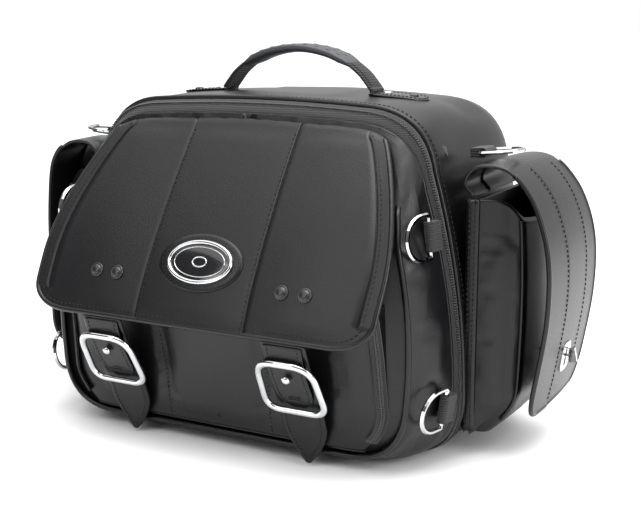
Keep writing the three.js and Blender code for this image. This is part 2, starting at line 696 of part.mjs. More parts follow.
// ---- the handle ----
// Half of the handle's rise, from its foot to its middle: distance from the middle, then height.
const HANDLE_RISE = [[82, 317.5], [76, 325], [67, 334.5], [48, 347], [26, 354.5]];
const handleCurve = new THREE.CatmullRomCurve3(
  [
    ...HANDLE_RISE.map(([x, z]) => new THREE.Vector3(-x, HANDLE.y, z)),
    new THREE.Vector3(0, HANDLE.y, HANDLE.top),
    ...HANDLE_RISE.map(([x, z]) => new THREE.Vector3(x, HANDLE.y, z)).reverse(),
  ],
);
function handleFace(u, v) {
  return handleCurve.getPoint(v).add(new THREE.Vector3(0, (u - 0.5) * HANDLE.width, 0));
}
const webbing = sheet(handleFace, 1, 30, HANDLE.thick);
add("handle_webbing", webbing, "webbing");
// The moulded grip, threaded on the middle of the webbing.
const GRIP = { from: 0.17, to: 0.83, over: 4, thick: 11, width: 32, play: 0.5 };
function alongHandle(from, to, rise, width) {
  return (u, v) => {
    const t = THREE.MathUtils.lerp(from, to, v);
    const tangent = handleCurve.getTangent(t);
    const up = new THREE.Vector3(-tangent.z, 0, tangent.x);
    const across = new THREE.Vector3(0, (u - 0.5) * width, 0);
    return handleCurve.getPoint(t).addScaledVector(up, rise).add(across);
  };
}
const gripBody = sheet(alongHandle(GRIP.from, GRIP.to, GRIP.over, GRIP.width), 2, 20, GRIP.thick);
const gripBore = sheet(
  alongHandle(GRIP.from - 0.03, GRIP.to + 0.03, GRIP.play, HANDLE.width + 2 * GRIP.play),
  1,
  22,
  HANDLE.thick + 2 * GRIP.play,
);
add("handle_grip", fromSolid(solid(gripBody).subtract(solid(gripBore))), "rubber");
const TAB = { half: 28, halfWidth: 17, x: 103, z: 310.6, fall: 0.07 };
for (const side of [-1, 1]) {
  const tab = plate(roundedPlateShape(TAB.half, TAB.halfWidth, 14), LEATHER, 6);
  add(`handle_tab_${side < 0 ? "left" : "right"}`, tab, "leather", (m) => {
    m.position.set(side * TAB.x, HANDLE.y, TAB.z);
    m.rotation.set(0, side * TAB.fall, 0);
  });
}

// ---- a slider on the main zip, low on the left, with its pull ----
const SLIDER = { x: -207, y: ZIP_PLANE, z: 78, thick: 4.5, width: 9, height: 13 };
add("zip_slider", new THREE.BoxGeometry(SLIDER.thick, SLIDER.width, SLIDER.height), "plastic", (m) => {
  m.position.set(SLIDER.x, SLIDER.y, SLIDER.z);
});
const pullLoop = plate(roundedPlateShape(4.5, 15, 4), 1.6, 5);
const pullEye = plate(roundedPlateShape(2.2, 11, 2), 6, 5).translate(0, 0, -2);
add("zip_pull", fromSolid(solid(pullLoop).subtract(solid(pullEye))), "plastic", (m) => {
  m.rotation.set(0, -Math.PI / 2, 0);
  m.rotateZ(Math.PI / 2);
  m.position.set(SLIDER.x - SLIDER.thick / 2 - 0.6, SLIDER.y, SLIDER.z - 12);
});

// ---- put the origin under the middle of the bag, on the ground ----
const box = new THREE.Box3().setFromObject(bag);
bag.position.set(-(box.min.x + box.max.x) / 2, -(box.min.y + box.max.y) / 2, -box.min.z);

export default bag;
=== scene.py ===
"""The looks of a motorcycle tail bag: black leather-look panels, piping, stitching, zips and chrome."""
import math

import bmesh
import bpy
import numpy as np
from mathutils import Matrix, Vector


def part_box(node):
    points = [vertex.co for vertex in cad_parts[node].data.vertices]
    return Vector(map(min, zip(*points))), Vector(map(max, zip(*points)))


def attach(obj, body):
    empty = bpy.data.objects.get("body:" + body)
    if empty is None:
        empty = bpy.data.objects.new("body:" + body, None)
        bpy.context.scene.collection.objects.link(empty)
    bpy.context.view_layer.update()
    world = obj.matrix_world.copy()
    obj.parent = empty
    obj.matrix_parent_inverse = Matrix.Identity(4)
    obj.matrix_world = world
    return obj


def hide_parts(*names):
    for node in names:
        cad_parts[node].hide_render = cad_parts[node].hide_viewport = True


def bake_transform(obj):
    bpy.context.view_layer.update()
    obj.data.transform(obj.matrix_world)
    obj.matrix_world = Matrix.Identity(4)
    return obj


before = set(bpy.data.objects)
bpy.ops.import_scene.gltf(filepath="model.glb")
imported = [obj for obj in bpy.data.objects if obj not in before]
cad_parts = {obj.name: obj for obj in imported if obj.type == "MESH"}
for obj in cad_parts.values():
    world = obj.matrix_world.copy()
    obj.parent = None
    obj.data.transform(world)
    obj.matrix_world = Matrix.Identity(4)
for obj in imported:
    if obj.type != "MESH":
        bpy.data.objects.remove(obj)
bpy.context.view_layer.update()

# ---- the bag's own measures, in millimetres: depth back from the badge, height from the ground ----
CASE_REAR = 263.0
BOARD_LOW, BOARD_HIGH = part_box("base_board")
MIDDLE = 1000 * (BOARD_LOW.x + BOARD_HIGH.x) / 2
SHIFT = (MIDDLE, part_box("back_panel")[1].y * 1000 - CASE_REAR, 0.0)
LEATHER = 3.0
WALL = 5.0
CASE = dict(height=313.0, bottom_half=205.0, top_half=176.0, bottom=0.0)
CASE_WIDENS = 11.0  # how much the case's shoulders widen from its front to its back
ZIP = dict(height=308.0, bottom_half=205.0, top_half=175.0, bottom=1.0)
LID = dict(height=298.0, bottom_half=200.0, top_half=173.0, bottom=1.6)
LID_FACE = dict(height=282.0, bottom_half=181.0, top_half=166.0, bottom=12.0)
SHELL = dict(bottom_radius=56.0, top_radius=60.0, crown=4.0, bow=15.0)
CASE_FRONT, ZIP_PLANE, LID_REAR, LID_FRONT = 103.0, 92.5, 83.0, 32.0
FLAP = dict(top=(75.0, 284.0), bend=(-3.0, 181.0), end=(-24.0, 124.0))
FLAP_SEAM = 54.6
STRAP_X = 93.0
BADGE_HEIGHT = 175.0
RIVET_HEIGHT, RIVET_COLUMNS = 160.0, (84.5, 106.8)
SIDE = dict(front=121.0, rear=229.0, bottom=20.0, top=231.0, inner=207.4, outer=249.0, skew=11.0)
SIDE_FLAP = dict(front=110.0, rear=235.0, flare=9.0)
HANDLE_DEPTH, HANDLE_TOP = 180.0, 357.5
HANDLE_RISE = ((82, 317.5), (76, 325), (67, 334.5), (48, 347), (26, 354.5))


def to_world(points):
    """Millimetres in the bag's own measures to metres in the shared frame."""
    return (np.asarray(points, float) + SHIFT) / 1000


# ---- camera and light ----
def look(location, target):
    """The turn that points a light or camera from one place at another."""
    return (Vector(target) - Vector(location)).to_track_quat("-Z", "Y")


def make_camera():
    data = bpy.data.cameras.new("camera")
    data.sensor_width = 36.0
    data.lens = 64.74
    camera = bpy.data.objects.new("camera", data)
    azimuth, elevation = math.radians(28.09), math.radians(11.49)
    back = Vector(
        (math.sin(azimuth) * math.cos(elevation), -math.cos(azimuth) * math.cos(elevation), math.sin(elevation))
    )
    camera.location = to_world((548.8, -809.8, 382.7))
    camera.rotation_mode = "QUATERNION"
    camera.rotation_quaternion = (-back).to_track_quat("-Z", "Y")
    bpy.context.collection.objects.link(camera)
    bpy.context.scene.camera = camera


def area_light(name, location, target, size, power, size_y=None):
    data = bpy.data.lights.new(name, "AREA")
    data.shape = "RECTANGLE"
    data.size = size
    data.size_y = size_y or size
    data.energy = power
    light = bpy.data.objects.new(name, data)
    light.location = location
    light.rotation_mode = "QUATERNION"
    light.rotation_quaternion = look(location, target)
    bpy.context.collection.objects.link(light)


def make_stage():
    mesh = bpy.data.meshes.new("floor")
    reach = 30.0
    corners = [(x * reach, y * reach, 0) for x, y in ((-1, -1), (1, -1), (1, 1), (-1, 1))]
    mesh.from_pydata(corners, [], [(0, 1, 2, 3)])
    floor = bpy.data.objects.new("floor", mesh)
    bpy.context.collection.objects.link(floor)
    material = bpy.data.materials.new("floor")
    material.use_nodes = True
    shader = material.node_tree.nodes["Principled BSDF"]
    shader.inputs["Base Color"].default_value = (0.93, 0.93, 0.93, 1)
    shader.inputs["Roughness"].default_value = 1.0
    shader.inputs["Specular IOR Level"].default_value = 0.0
    floor.data.materials.append(material)
    floor.location.z = -0.0005
    world = bpy.data.worlds.new("studio")
    world.use_nodes = True
    nodes, links = world.node_tree.nodes, world.node_tree.links
    direction = nodes.new("ShaderNodeTexCoord")
    split = nodes.new("ShaderNodeSeparateXYZ")
    links.new(direction.outputs["Generated"], split.inputs["Vector"])
    tone = ramp(nodes, (0.16, 0.16, 0.165), (1.0, 1.0, 1.0), (0.05, 0.6))
    links.new(split.outputs["Y"], tone.inputs["Fac"])
    links.new(tone.outputs["Color"], nodes["Background"].inputs["Color"])
    bpy.context.scene.world = world
    bpy.context.scene.view_settings.view_transform = "Standard"
    sun = bpy.data.lights.new("sky", "SUN")
    sun.energy = 3.1
    sun.angle = math.radians(100)
    high = bpy.data.objects.new("sky", sun)
    bpy.context.collection.objects.link(high)
    area_light("overhead", (0.2, -0.1, 1.7), (0, 0.05, 0.1), 1.5, 26, 1.1)
    area_light("front", (-0.8, -2.0, 1.3), (0, 0, 0.15), 0.7, 10, 1.3)
    area_light("side", (1.9, -0.5, 0.9), (0.25, 0, 0.15), 0.6, 22, 1.2)


# ---- materials ----
def new_material(name):
    material = bpy.data.materials.new(name)
    material.use_nodes = True
    nodes, links = material.node_tree.nodes, material.node_tree.links
    coordinates = nodes.new("ShaderNodeTexCoord")
    return material, nodes, links, nodes["Principled BSDF"], coordinates


def ramp(nodes, low, high, at=(0.35, 0.65)):
    node = nodes.new("ShaderNodeValToRGB")
    node.color_ramp.elements[0].position, node.color_ramp.elements[1].position = at
    node.color_ramp.elements[0].color = (*low, 1)
    node.color_ramp.elements[1].color = (*high, 1)
    return node


def noise_node(nodes, links, place, scale, detail=2.0, distortion=0.0):
    made = nodes.new("ShaderNodeTexNoise")
    made.inputs["Scale"].default_value = scale
    made.inputs["Detail"].default_value = detail
    made.inputs["Distortion"].default_value = distortion
    links.new(place, made.inputs["Vector"])
    return made


def bump_node(nodes, links, height, strength, distance):
    made = nodes.new("ShaderNodeBump")
    made.inputs["Strength"].default_value = strength
    made.inputs["Distance"].default_value = distance
    links.new(height, made.inputs["Height"])
    return made


def vary_gloss(nodes, links, source, shader, low, high):
    made = nodes.new("ShaderNodeMapRange")
    made.inputs["To Min"].default_value = low
    made.inputs["To Max"].default_value = high
    links.new(source, made.inputs["Value"])
    links.new(made.outputs["Result"], shader.inputs["Roughness"])


def leather(name, dark, light, rough=(0.42, 0.55), grain=900.0, depth=0.00016, sheen=0.0):
    """Synthetic leather: pebbled grain, a slower tone change, and soft gloss."""
    material, nodes, links, shader, coordinates = new_material(name)
    place = coordinates.outputs["Object"]
    tone = noise_node(nodes, links, place, 9.0, 5.0)
    colour = ramp(nodes, dark, light)
    links.new(tone.outputs["Fac"], colour.inputs["Fac"])
    links.new(colour.outputs["Color"], shader.inputs["Base Color"])
    cells = nodes.new("ShaderNodeTexVoronoi")
    cells.inputs["Scale"].default_value = grain
    cells.feature = "SMOOTH_F1"
    links.new(place, cells.inputs["Vector"])
    fine = noise_node(nodes, links, place, grain * 0.55, 4.0)
    mix = nodes.new("ShaderNodeMath")
    mix.operation = "ADD"
    links.new(cells.outputs["Distance"], mix.inputs[0])
    links.new(fine.outputs["Fac"], mix.inputs[1])
    bump = bump_node(nodes, links, mix.outputs[0], 0.5, depth)
    crease = noise_node(nodes, links, place, 26.0, 6.0, 0.8)
    soft = bump_node(nodes, links, crease.outputs["Fac"], 0.12, 0.0012)
    links.new(bump.outputs["Normal"], soft.inputs["Normal"])
    links.new(soft.outputs["Normal"], shader.inputs["Normal"])
    vary_gloss(nodes, links, fine.outputs["Fac"], shader, *rough)
    shader.inputs["Specular IOR Level"].default_value = 0.36
    shader.inputs["Sheen Weight"].default_value = sheen
    return material


def woven(name, colour, pitch, rib=0.0006, direction="Z", rough=0.75):
    """Ribbed webbing or zip tape: narrow ribs one way and a finer weave the other, with painted shade darkening the
    grooves between the ribs.
    """
    material, nodes, links, shader, coordinates = new_material(name)
    wave = nodes.new("ShaderNodeTexWave")
    wave.bands_direction = direction
    wave.inputs["Scale"].default_value = 1000.0 / pitch / 20 * math.pi
    wave.inputs["Distortion"].default_value = 0.6
    wave.inputs["Detail"].default_value = 1.0
    links.new(coordinates.outputs["Object"], wave.inputs["Vector"])
    noise = noise_node(nodes, links, coordinates.outputs["Object"], 1400.0)
    # painted shade: the colour falls to 0.45 of the yarn's colour in the rib grooves, following the same wave that
    # raises the ribs
    tone = ramp(nodes, [c * 0.45 for c in colour], colour, (0.2, 0.8))
    links.new(wave.outputs["Fac"], tone.inputs["Fac"])
    links.new(tone.outputs["Color"], shader.inputs["Base Color"])
    total = nodes.new("ShaderNodeMath")
    total.operation = "MULTIPLY_ADD"
    total.inputs[1].default_value = 0.3
    links.new(noise.outputs["Fac"], total.inputs[0])
    links.new(wave.outputs["Fac"], total.inputs[2])
    bump = bump_node(nodes, links, total.outputs[0], 0.8, rib)
    links.new(bump.outputs["Normal"], shader.inputs["Normal"])
    shader.inputs["Roughness"].default_value = rough
    shader.inputs["Sheen Weight"].default_value = 0.15
    return material


def moulded(name, colour, rough, grain=700.0, depth=0.00008, metallic=0.0, coat=0.0):
    """Moulded rubber or plastic, or plated metal, with a faint surface."""
    material, nodes, links, shader, coordinates = new_material(name)
    noise = noise_node(nodes, links, coordinates.outputs["Object"], grain, 3.0)
    bump = bump_node(nodes, links, noise.outputs["Fac"], 0.4, depth)
    links.new(bump.outputs["Normal"], shader.inputs["Normal"])
    smear = noise_node(nodes, links, coordinates.outputs["Object"], 40.0)
    vary_gloss(nodes, links, smear.outputs["Fac"], shader, rough * 0.8, rough * 1.3)
    tone = ramp(nodes, [c * 0.85 for c in colour], colour)
    links.new(smear.outputs["Fac"], tone.inputs["Fac"])
    links.new(tone.outputs["Color"], shader.inputs["Base Color"])
    shader.inputs["Metallic"].default_value = metallic
    shader.inputs["Coat Weight"].default_value = coat
    return material


MATERIAL = {
    "leather": leather("leather", (0.002, 0.0021, 0.0026), (0.0035, 0.0037, 0.0044), (0.3, 0.42)),
    "edge": leather("edge_leather", (0.002, 0.0021, 0.0025), (0.0034, 0.0036, 0.0042), (0.26, 0.36), 700.0),
    "lining": woven("lining", (0.02, 0.02, 0.021), 1.2, 0.0002),
    "webbing": woven("webbing", (0.007, 0.0072, 0.008), 1.1),
    "tape": woven("zip_tape", (0.006, 0.006, 0.0065), 0.9, 0.0002),
    "coil": moulded("zip_coil", (0.05, 0.051, 0.054), 0.3),
    "thread": moulded("thread", (0.002, 0.002, 0.0023), 0.75, 2500.0, 0.0002),
    "rubber": moulded("grip_rubber", (0.04, 0.043, 0.05), 0.5, 900.0),
    "plastic": moulded("hard_plastic", (0.012, 0.012, 0.013), 0.38),
    "rivet": moulded("rivet_black", (0.014, 0.014, 0.015), 0.28),
    "inlay": moulded("badge_inlay", (0.006, 0.006, 0.007), 0.12, coat=0.6),
    "chrome": moulded("chrome", (0.62, 0.63, 0.64), 0.07, 60.0, 0.00002, metallic=1.0),
}


# ---- making pieces ----
def piece(name, body, points, faces, material, smooth=True, replaces=(), ride=True):
    """A mesh piece from points in the bag's own measures; it is turned the right way out."""
    mesh = bpy.data.meshes.new(name)
    mesh.from_pydata([tuple(p) for p in to_world(points)], [], [tuple(int(k) for k in f) for f in faces])
    mesh.validate()
    work = bmesh.new()
    work.from_mesh(mesh)
    bmesh.ops.recalc_face_normals(work, faces=work.faces)
    work.to_mesh(mesh)
    work.free()
    for polygon in mesh.polygons:
        polygon.use_smooth = smooth
    made = bpy.data.objects.new(name, mesh)
    bpy.context.collection.objects.link(made)
    made.data.materials.append(MATERIAL[material])
    if ride:
        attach(made, body)
    if replaces:
        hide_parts(*replaces)
    return made


def loft(rings, closed_rings=False, capped=True):
    """Points and faces of a skin over rings of points, each an array of the same length."""
    rings = [np.asarray(r, float) for r in rings]
    count, total = len(rings[0]), len(rings)
    points = np.concatenate(rings)
    faces = []
    for r in range(total if closed_rings else total - 1):
        here, there = r * count, ((r + 1) % total) * count
        for k in range(count):
            l = (k + 1) % count
            faces.append((here + k, here + l, there + l, there + k))
    if capped and not closed_rings:
        half = count // 2
        for start in (0, (total - 1) * count):
            for k in range(half - 1):
                faces.append((start + k, start + k + 1, start + count - 2 - k, start + count - 1 - k))
    return points, faces


def normals_of(grid):
    """Unit normals of a grid of points, rows by columns."""
    down = np.gradient(grid, axis=0)
    across = np.gradient(grid, axis=1)
    normal = np.cross(across, down)
    return normal / np.maximum(np.linalg.norm(normal, axis=2, keepdims=True), 1e-9)


def thick_sheet(grid, thick, rim_steps=4):
    """A sheet of even thickness behind a grid of points, with a rounded rim."""
    rows, cols = grid.shape[:2]
    normal = normals_of(grid)
    middle = grid.reshape(-1, 3).mean(axis=0)
    outer = grid.reshape(-1, 3)
    inner = (grid + normal * thick).reshape(-1, 3)
    faces = []
    for j in range(rows - 1):
        for i in range(cols - 1):
            a = j * cols + i
            quad = (a, a + 1, a + cols + 1, a + cols)
            faces.append(quad)
            faces.append(tuple(k + rows * cols for k in reversed(quad)))
    rim = [i for i in range(cols)]
    rim += [j * cols + cols - 1 for j in range(1, rows)]
    rim += [(rows - 1) * cols + i for i in range(cols - 2, -1, -1)]
    rim += [j * cols for j in range(rows - 2, 0, -1)]
    centre = (outer[rim] + inner[rim]) / 2
    ahead = np.roll(centre, -1, axis=0) - np.roll(centre, 1, axis=0)
    through = inner[rim] - outer[rim]
    away = np.cross(ahead, through)
    away /= np.maximum(np.linalg.norm(away, axis=1, keepdims=True), 1e-9)
    away *= np.sign((away * (centre - middle)).sum(axis=1).mean())
    points = [outer, inner]
    base = 2 * rows * cols
    loops = [np.array(rim)]
    for step in range(1, rim_steps):
        angle = math.pi * step / rim_steps
        points.append(centre - through / 2 * math.cos(angle) + away * (thick / 2) * math.sin(angle))
        loops.append(np.arange(len(rim)) + base)
        base += len(rim)
    loops.append(np.array(rim) + rows * cols)
    for one, two in zip(loops[:-1], loops[1:]):
        for k in range(len(rim)):
            l = (k + 1) % len(rim)
            faces.append((one[k], one[l], two[l], two[k]))
    return np.concatenate(points), faces


def tube(path, radius, closed=False, sides=10, flat=1.0, hint=(0.0, -1.0, 0.02)):
    """Points and faces of a round cord along a path; flat squashes it along the hint."""
    path = np.asarray(path, float)
    if closed:
        ahead = np.roll(path, -1, axis=0) - np.roll(path, 1, axis=0)
    else:
        ahead = np.gradient(path, axis=0)
    ahead /= np.linalg.norm(ahead, axis=1, keepdims=True)
    across = np.cross(ahead, np.broadcast_to(hint, ahead.shape))
    across /= np.maximum(np.linalg.norm(across, axis=1, keepdims=True), 1e-9)
    out = np.cross(across, ahead)
    rings = []
    for p, a, o in zip(path, across, out):
        angles = np.arange(sides) * 2 * math.pi / sides
        rings.append(p + radius * (np.outer(np.cos(angles), a) + flat * np.outer(np.sin(angles), o)))
    points, faces = loft(rings, closed_rings=closed, capped=False)
    if not closed:
        last = (len(rings) - 1) * sides
        faces += [tuple(range(sides)), tuple(range(last + sides - 1, last - 1, -1))]
    return points, faces


def resample(path, pitch, closed=False):
    """Points every pitch along a path, as near as a whole number of steps allows."""
    path = np.asarray(path, float)
    if closed:
        path = np.vstack([path, path[:1]])
    reach = np.concatenate([[0], np.cumsum(np.linalg.norm(np.diff(path, axis=0), axis=1))])
    count = max(2, int(round(reach[-1] / pitch)) + 1)
    stops = np.linspace(0, reach[-1], count)
    made = np.stack([np.interp(stops, reach, path[:, k]) for k in range(3)], axis=1)
    return made[:-1] if closed else made


def near(points, paths, reach):
    """Which points lie within reach of any of the given paths."""
    held = np.zeros(len(points), bool)
    for path in paths:
        for start in range(0, len(points), 4000):
            part = points[start:start + 4000]
            held[start:start + 4000] |= np.linalg.norm(part[:, None] - path[None], axis=2).min(axis=1) < reach
    return held


def puff(made, held, pressure, cap, frames=14, slack=0.0):
    """Fill a padded piece: it swells as cloth under pressure, held along its seams and its lining."""
    scene = bpy.context.scene
    group = made.vertex_groups.new(name="sewn")
    group.add([int(k) for k in np.flatnonzero(held)], 1.0, "REPLACE")
    cloth = made.modifiers.new("padding", "CLOTH")
    settings = cloth.settings
    settings.quality = 4
    settings.mass = 0.3
    settings.tension_stiffness = settings.compression_stiffness = 14
    settings.bending_stiffness = 1.2
    settings.vertex_group_mass = "sewn"
    settings.shrink_min = -slack
    settings.use_pressure = True
    settings.uniform_pressure_force = pressure
    settings.effector_weights.gravity = 0
    cloth.collision_settings.use_collision = False
    cloth.point_cache.frame_start, cloth.point_cache.frame_end = 1, frames
    for frame_number in range(1, frames + 1):
        scene.frame_set(frame_number)
    done = made.evaluated_get(bpy.context.evaluated_depsgraph_get()).to_mesh()
    count = len(made.data.vertices)
    was, now = np.empty(count * 3), np.empty(count * 3)
    made.data.vertices.foreach_get("co", was)
    done.vertices.foreach_get("co", now)
    moved = (now - was).reshape(-1, 3)
    reach = np.maximum(np.linalg.norm(moved, axis=1, keepdims=True), 1e-9)
    moved *= np.minimum(1.0, cap / reach)
    moved[np.asarray(held, bool)] = 0
    made.modifiers.remove(cloth)
    made.vertex_groups.remove(group)
    made.data.vertices.foreach_set("co", was + moved.ravel())
    made.data.update()
    scene.frame_set(1)


class Pile:
    """Many small like solids that are gathered into one mesh for each body."""

    def __init__(self):
        self.points, self.faces, self.count = {}, {}, {}

    def add(self, body, points, faces):
        start = self.count.get(body, 0)
        self.points.setdefault(body, []).append(points)
        self.faces.setdefault(body, []).extend(tuple(k + start for k in f) for f in faces)
        self.count[body] = start + len(points)

    def finish(self, name, material):
        for body, points in self.points.items():
            piece(f"{name}_{body}", body, np.concatenate(points), self.faces[body], material)


stitching, coils, ribs, holes = Pile(), Pile(), Pile(), Pile()


def bead(centre, along, out, length, radius, height):
    """A six-sided bead, pointed at both ends: one stitch or one turn of a zip's coil."""
    across = np.cross(along, out)
    points, sides = [centre - along * length / 2], 6
    for reach, swell in ((-0.3, 0.9), (0.3, 0.9)):
        for k in range(sides):
            angle = 2 * math.pi * k / sides
            offset = across * radius * swell * math.cos(angle) + out * height * swell * math.sin(angle)
            points.append(centre + along * length * reach + offset)
    points.append(centre + along * length / 2)
    faces = [(0, 1 + k, 1 + (k + 1) % sides) for k in range(sides)]
    faces += [(1 + k, 1 + (k + 1) % sides, 7 + (k + 1) % sides, 7 + k) for k in range(sides)]
    faces += [(13, 7 + (k + 1) % sides, 7 + k) for k in range(sides)]
    return np.array(points), faces


def stitch(body, path, out, pitch=4.4, closed=False, radius=0.5):
    """A row of stitches sunk in the surface along a path; out is away from the surface."""
    stops = resample(path, pitch, closed)
    ahead = np.gradient(stops, axis=0)
    ahead /= np.linalg.norm(ahead, axis=1, keepdims=True)
    outs = np.broadcast_to(out, stops.shape) if np.ndim(out) == 1 else None
    for k, (centre, along) in enumerate(zip(stops, ahead)):
        away = outs[k] if outs is not None else out(centre)
        away = away - along * np.dot(away, along)
        away = away / np.linalg.norm(away)
        lean = along + 0.12 * np.cross(along, away)
        stitching.add(body, *bead(centre + away * 0.1, lean / np.linalg.norm(lean), away, pitch * 0.72, radius, 0.45))


def coil(body, path, out, pitch=1.7, width=5.2, closed=False):
    """A zip's coil: turns side by side across the path."""
    stops = resample(path, pitch, closed)
    ahead = np.gradient(stops, axis=0)
    ahead /= np.linalg.norm(ahead, axis=1, keepdims=True)
    for centre, along in zip(stops, ahead):
        away = out(centre) if callable(out) else np.array(out, float)
        away = away - along * np.dot(away, along)
        away /= np.linalg.norm(away)
        across = np.cross(along, away)
        for side in (-1, 1):
            turned = across + 0.22 * side * along
            turned /= np.linalg.norm(turned)
            coils.add(body, *bead(centre + across * side * width * 0.23, turned, away, width * 0.56, 0.72, 0.8))


# ---- outlines shared with the frame ----
def bezier(a, b, c, t):
    t = np.asarray(t, float)[:, None]
    return (1 - t) ** 2 * np.array(a) + 2 * t * (1 - t) * np.array(b) + t**2 * np.array(c)


def outline(size, inset=0.0, steps=(10, 12, 26, 12, 12)):
    """The case's or the lid's rounded outline, across and up, from bottom middle round to itself."""
    bottom, top = size["bottom"] + inset, size["height"] - inset
    low, high = size["bottom_half"] - inset, size["top_half"] - inset
    low_round, high_round, crown = SHELL["bottom_radius"] - inset, SHELL["top_radius"] - inset, SHELL["crown"]
    side = ((low + 1 + high) / 2 + SHELL["bow"], (bottom + low_round + top - high_round) / 2)
    spans = [
        ((0.01, bottom), ((low - low_round) / 2, bottom), (low - low_round, bottom)),
        ((low - low_round, bottom), (low, bottom), (low + 1, bottom + low_round)),
        ((low + 1, bottom + low_round), side, (high, top - high_round)),
        ((high, top - high_round), (high - 2 * crown, top - 2.2 * crown), (high - high_round, top - crown)),
        ((high - high_round, top - crown), ((high - high_round) / 2, top), (0.01, top)),
    ]
    right = [bezier(*span, np.linspace(0, 1, n + 1))[:-1] for span, n in zip(spans, steps)]
    right = np.concatenate(right + [np.array([[0.01, top]])])
    left = right[::-1] * (-1, 1)
    return np.concatenate([right, left])


def crest_line():
    """Half of the case's top edge, across then up, from the middle outwards."""
    ring = outline(CASE)
    top = ring[(ring[:, 0] > 0) & (ring[:, 1] > 240)]
    return top[np.argsort(top[:, 0])]


CREST = crest_line()


def stand(flat, depth):
    """An outline stood up at a depth, or at a depth for each point."""
    flat = np.asarray(flat)
    y = np.full(len(flat), depth) if np.isscalar(depth) else np.asarray(depth)
    return np.column_stack([flat[:, 0], y, flat[:, 1]])


def lid_depth(height):
    climbed = np.clip((np.asarray(height, float) - 196) / (LID_FACE["height"] - 196), 0, 1)
    return LID_FRONT + (LID_REAR - 2 - LID_FRONT) * climbed**1.1


def outward(centre, middle=(0.0, 175.0, 150.0)):
    """Away from the bag's long axis, for pieces that ring it."""
    away = np.array([centre[0] - middle[0], 0.0, (centre[2] - middle[2]) * 1.2])
    away = np.sign(away) * np.abs(away) ** 3
    return away / np.linalg.norm(away)


# ---- the case ----
def case_ring(depth, inset):
    """The case's outline at a depth, and how far back that is, from 0 at its front to 1 at its back."""
    back = (depth - CASE_FRONT) / (CASE_REAR - CASE_FRONT)
    return outline(dict(CASE, top_half=CASE["top_half"] + CASE_WIDENS * back), inset), back


def build_case():
    """The padded case: outer skin with soft edges at the back, and a lined inside."""
    depths = [CASE_FRONT, 104.2, 108, 118, 140, 165, 190, 215, 238, 250, 257, 261, CASE_REAR]
    insets = [3.0, 1.9, 1.0, 0.3, 0, 0, 0, 0, 0, 0.3, 1.4, 3.0, 6.5]
    rings = []
    for depth, inset in zip(depths, insets):
        flat, back = case_ring(depth, inset)
        swell = 2.6 * math.sin(math.pi * back)
        sides = np.clip((flat[:, 1] - 60) / 190, 0, 1)
        flat[:, 0] += np.sign(flat[:, 0]) * swell * np.sin(math.pi * sides) * (flat[:, 1] > 232)
        flat[:, 1] += 1.2 * np.sin(flat[:, 0] / 34.0 + depth / 40.0) * math.sin(math.pi * back) * (flat[:, 1] > 290)
        rings.append(stand(flat, depth))
    lining = [stand(case_ring(d, WALL - 0.3)[0], d) for d in (CASE_REAR - 6, 200, 150, 110, CASE_FRONT)]
    outer_points, outer_faces = loft(lining + rings)
    skin = piece("case_skin", "case", outer_points, outer_faces, "leather",
                 replaces=("case_shell", "back_panel"))
    held = np.ones(len(outer_points), bool)
    first = len(lining) + 4
    held[first * len(rings[0]):(first + 5) * len(rings[0])] = False
    high = outer_points[:, 2]
    held |= (high < 30) | ((high < 265) & (np.abs(outer_points[:, 0]) > 195))
    held |= (high > 296) & (np.abs(np.abs(outer_points[:, 0]) - 95) < 42)
    held |= near(outer_points, [np.array([(side * 196, 150, 270)]) for side in (-1, 1)], 34)
    puff(skin, held, 50.0, 0.0015, slack=0.01)


def build_ring_band(name, body, sizes, insets, depths, material, replaces=()):
    rings = [stand(outline(size, i), d) for size, i, d in zip(sizes, insets, depths)]
    points, faces = loft(rings, closed_rings=True)
    return piece(name, body, points, faces, material, replaces=replaces)


def build_main_zip():
    """Tape on each side of the join, the coil between, and the piping that frames them."""
    build_ring_band("case_tape", "case", (ZIP, CASE, CASE, ZIP), (1.7, 3.0, 6.0, 5.0), (93.0, 99.6, 99.6, 93.0),
                    "tape", ("case_zip",))
    build_ring_band("lid_tape", "lid", (LID, ZIP, ZIP, LID), (1.0, 1.7, 5.0, 4.0), (86.4, 92.0, 92.0, 86.4),
                    "tape", ("lid_zip",))
    coil("case", stand(outline(ZIP, 0.7), ZIP_PLANE), outward, closed=True, width=6.4, pitch=2.3)
    for name, body, size, depth, cad in (
        ("case_welt", "case", CASE, CASE_FRONT - 2.0, "case_piping"),
        ("lid_welt", "lid", LID, LID_REAR + 2.2, "lid_piping"),
    ):
        path = stand(outline(size, 1.8), depth)
        piece(name, body, *tube(path, 2.4, closed=True), "edge", replaces=(cad,))
    stitch("case", stand(outline(CASE, 0.2), CASE_FRONT + 5.5), outward, closed=True, pitch=4.6)


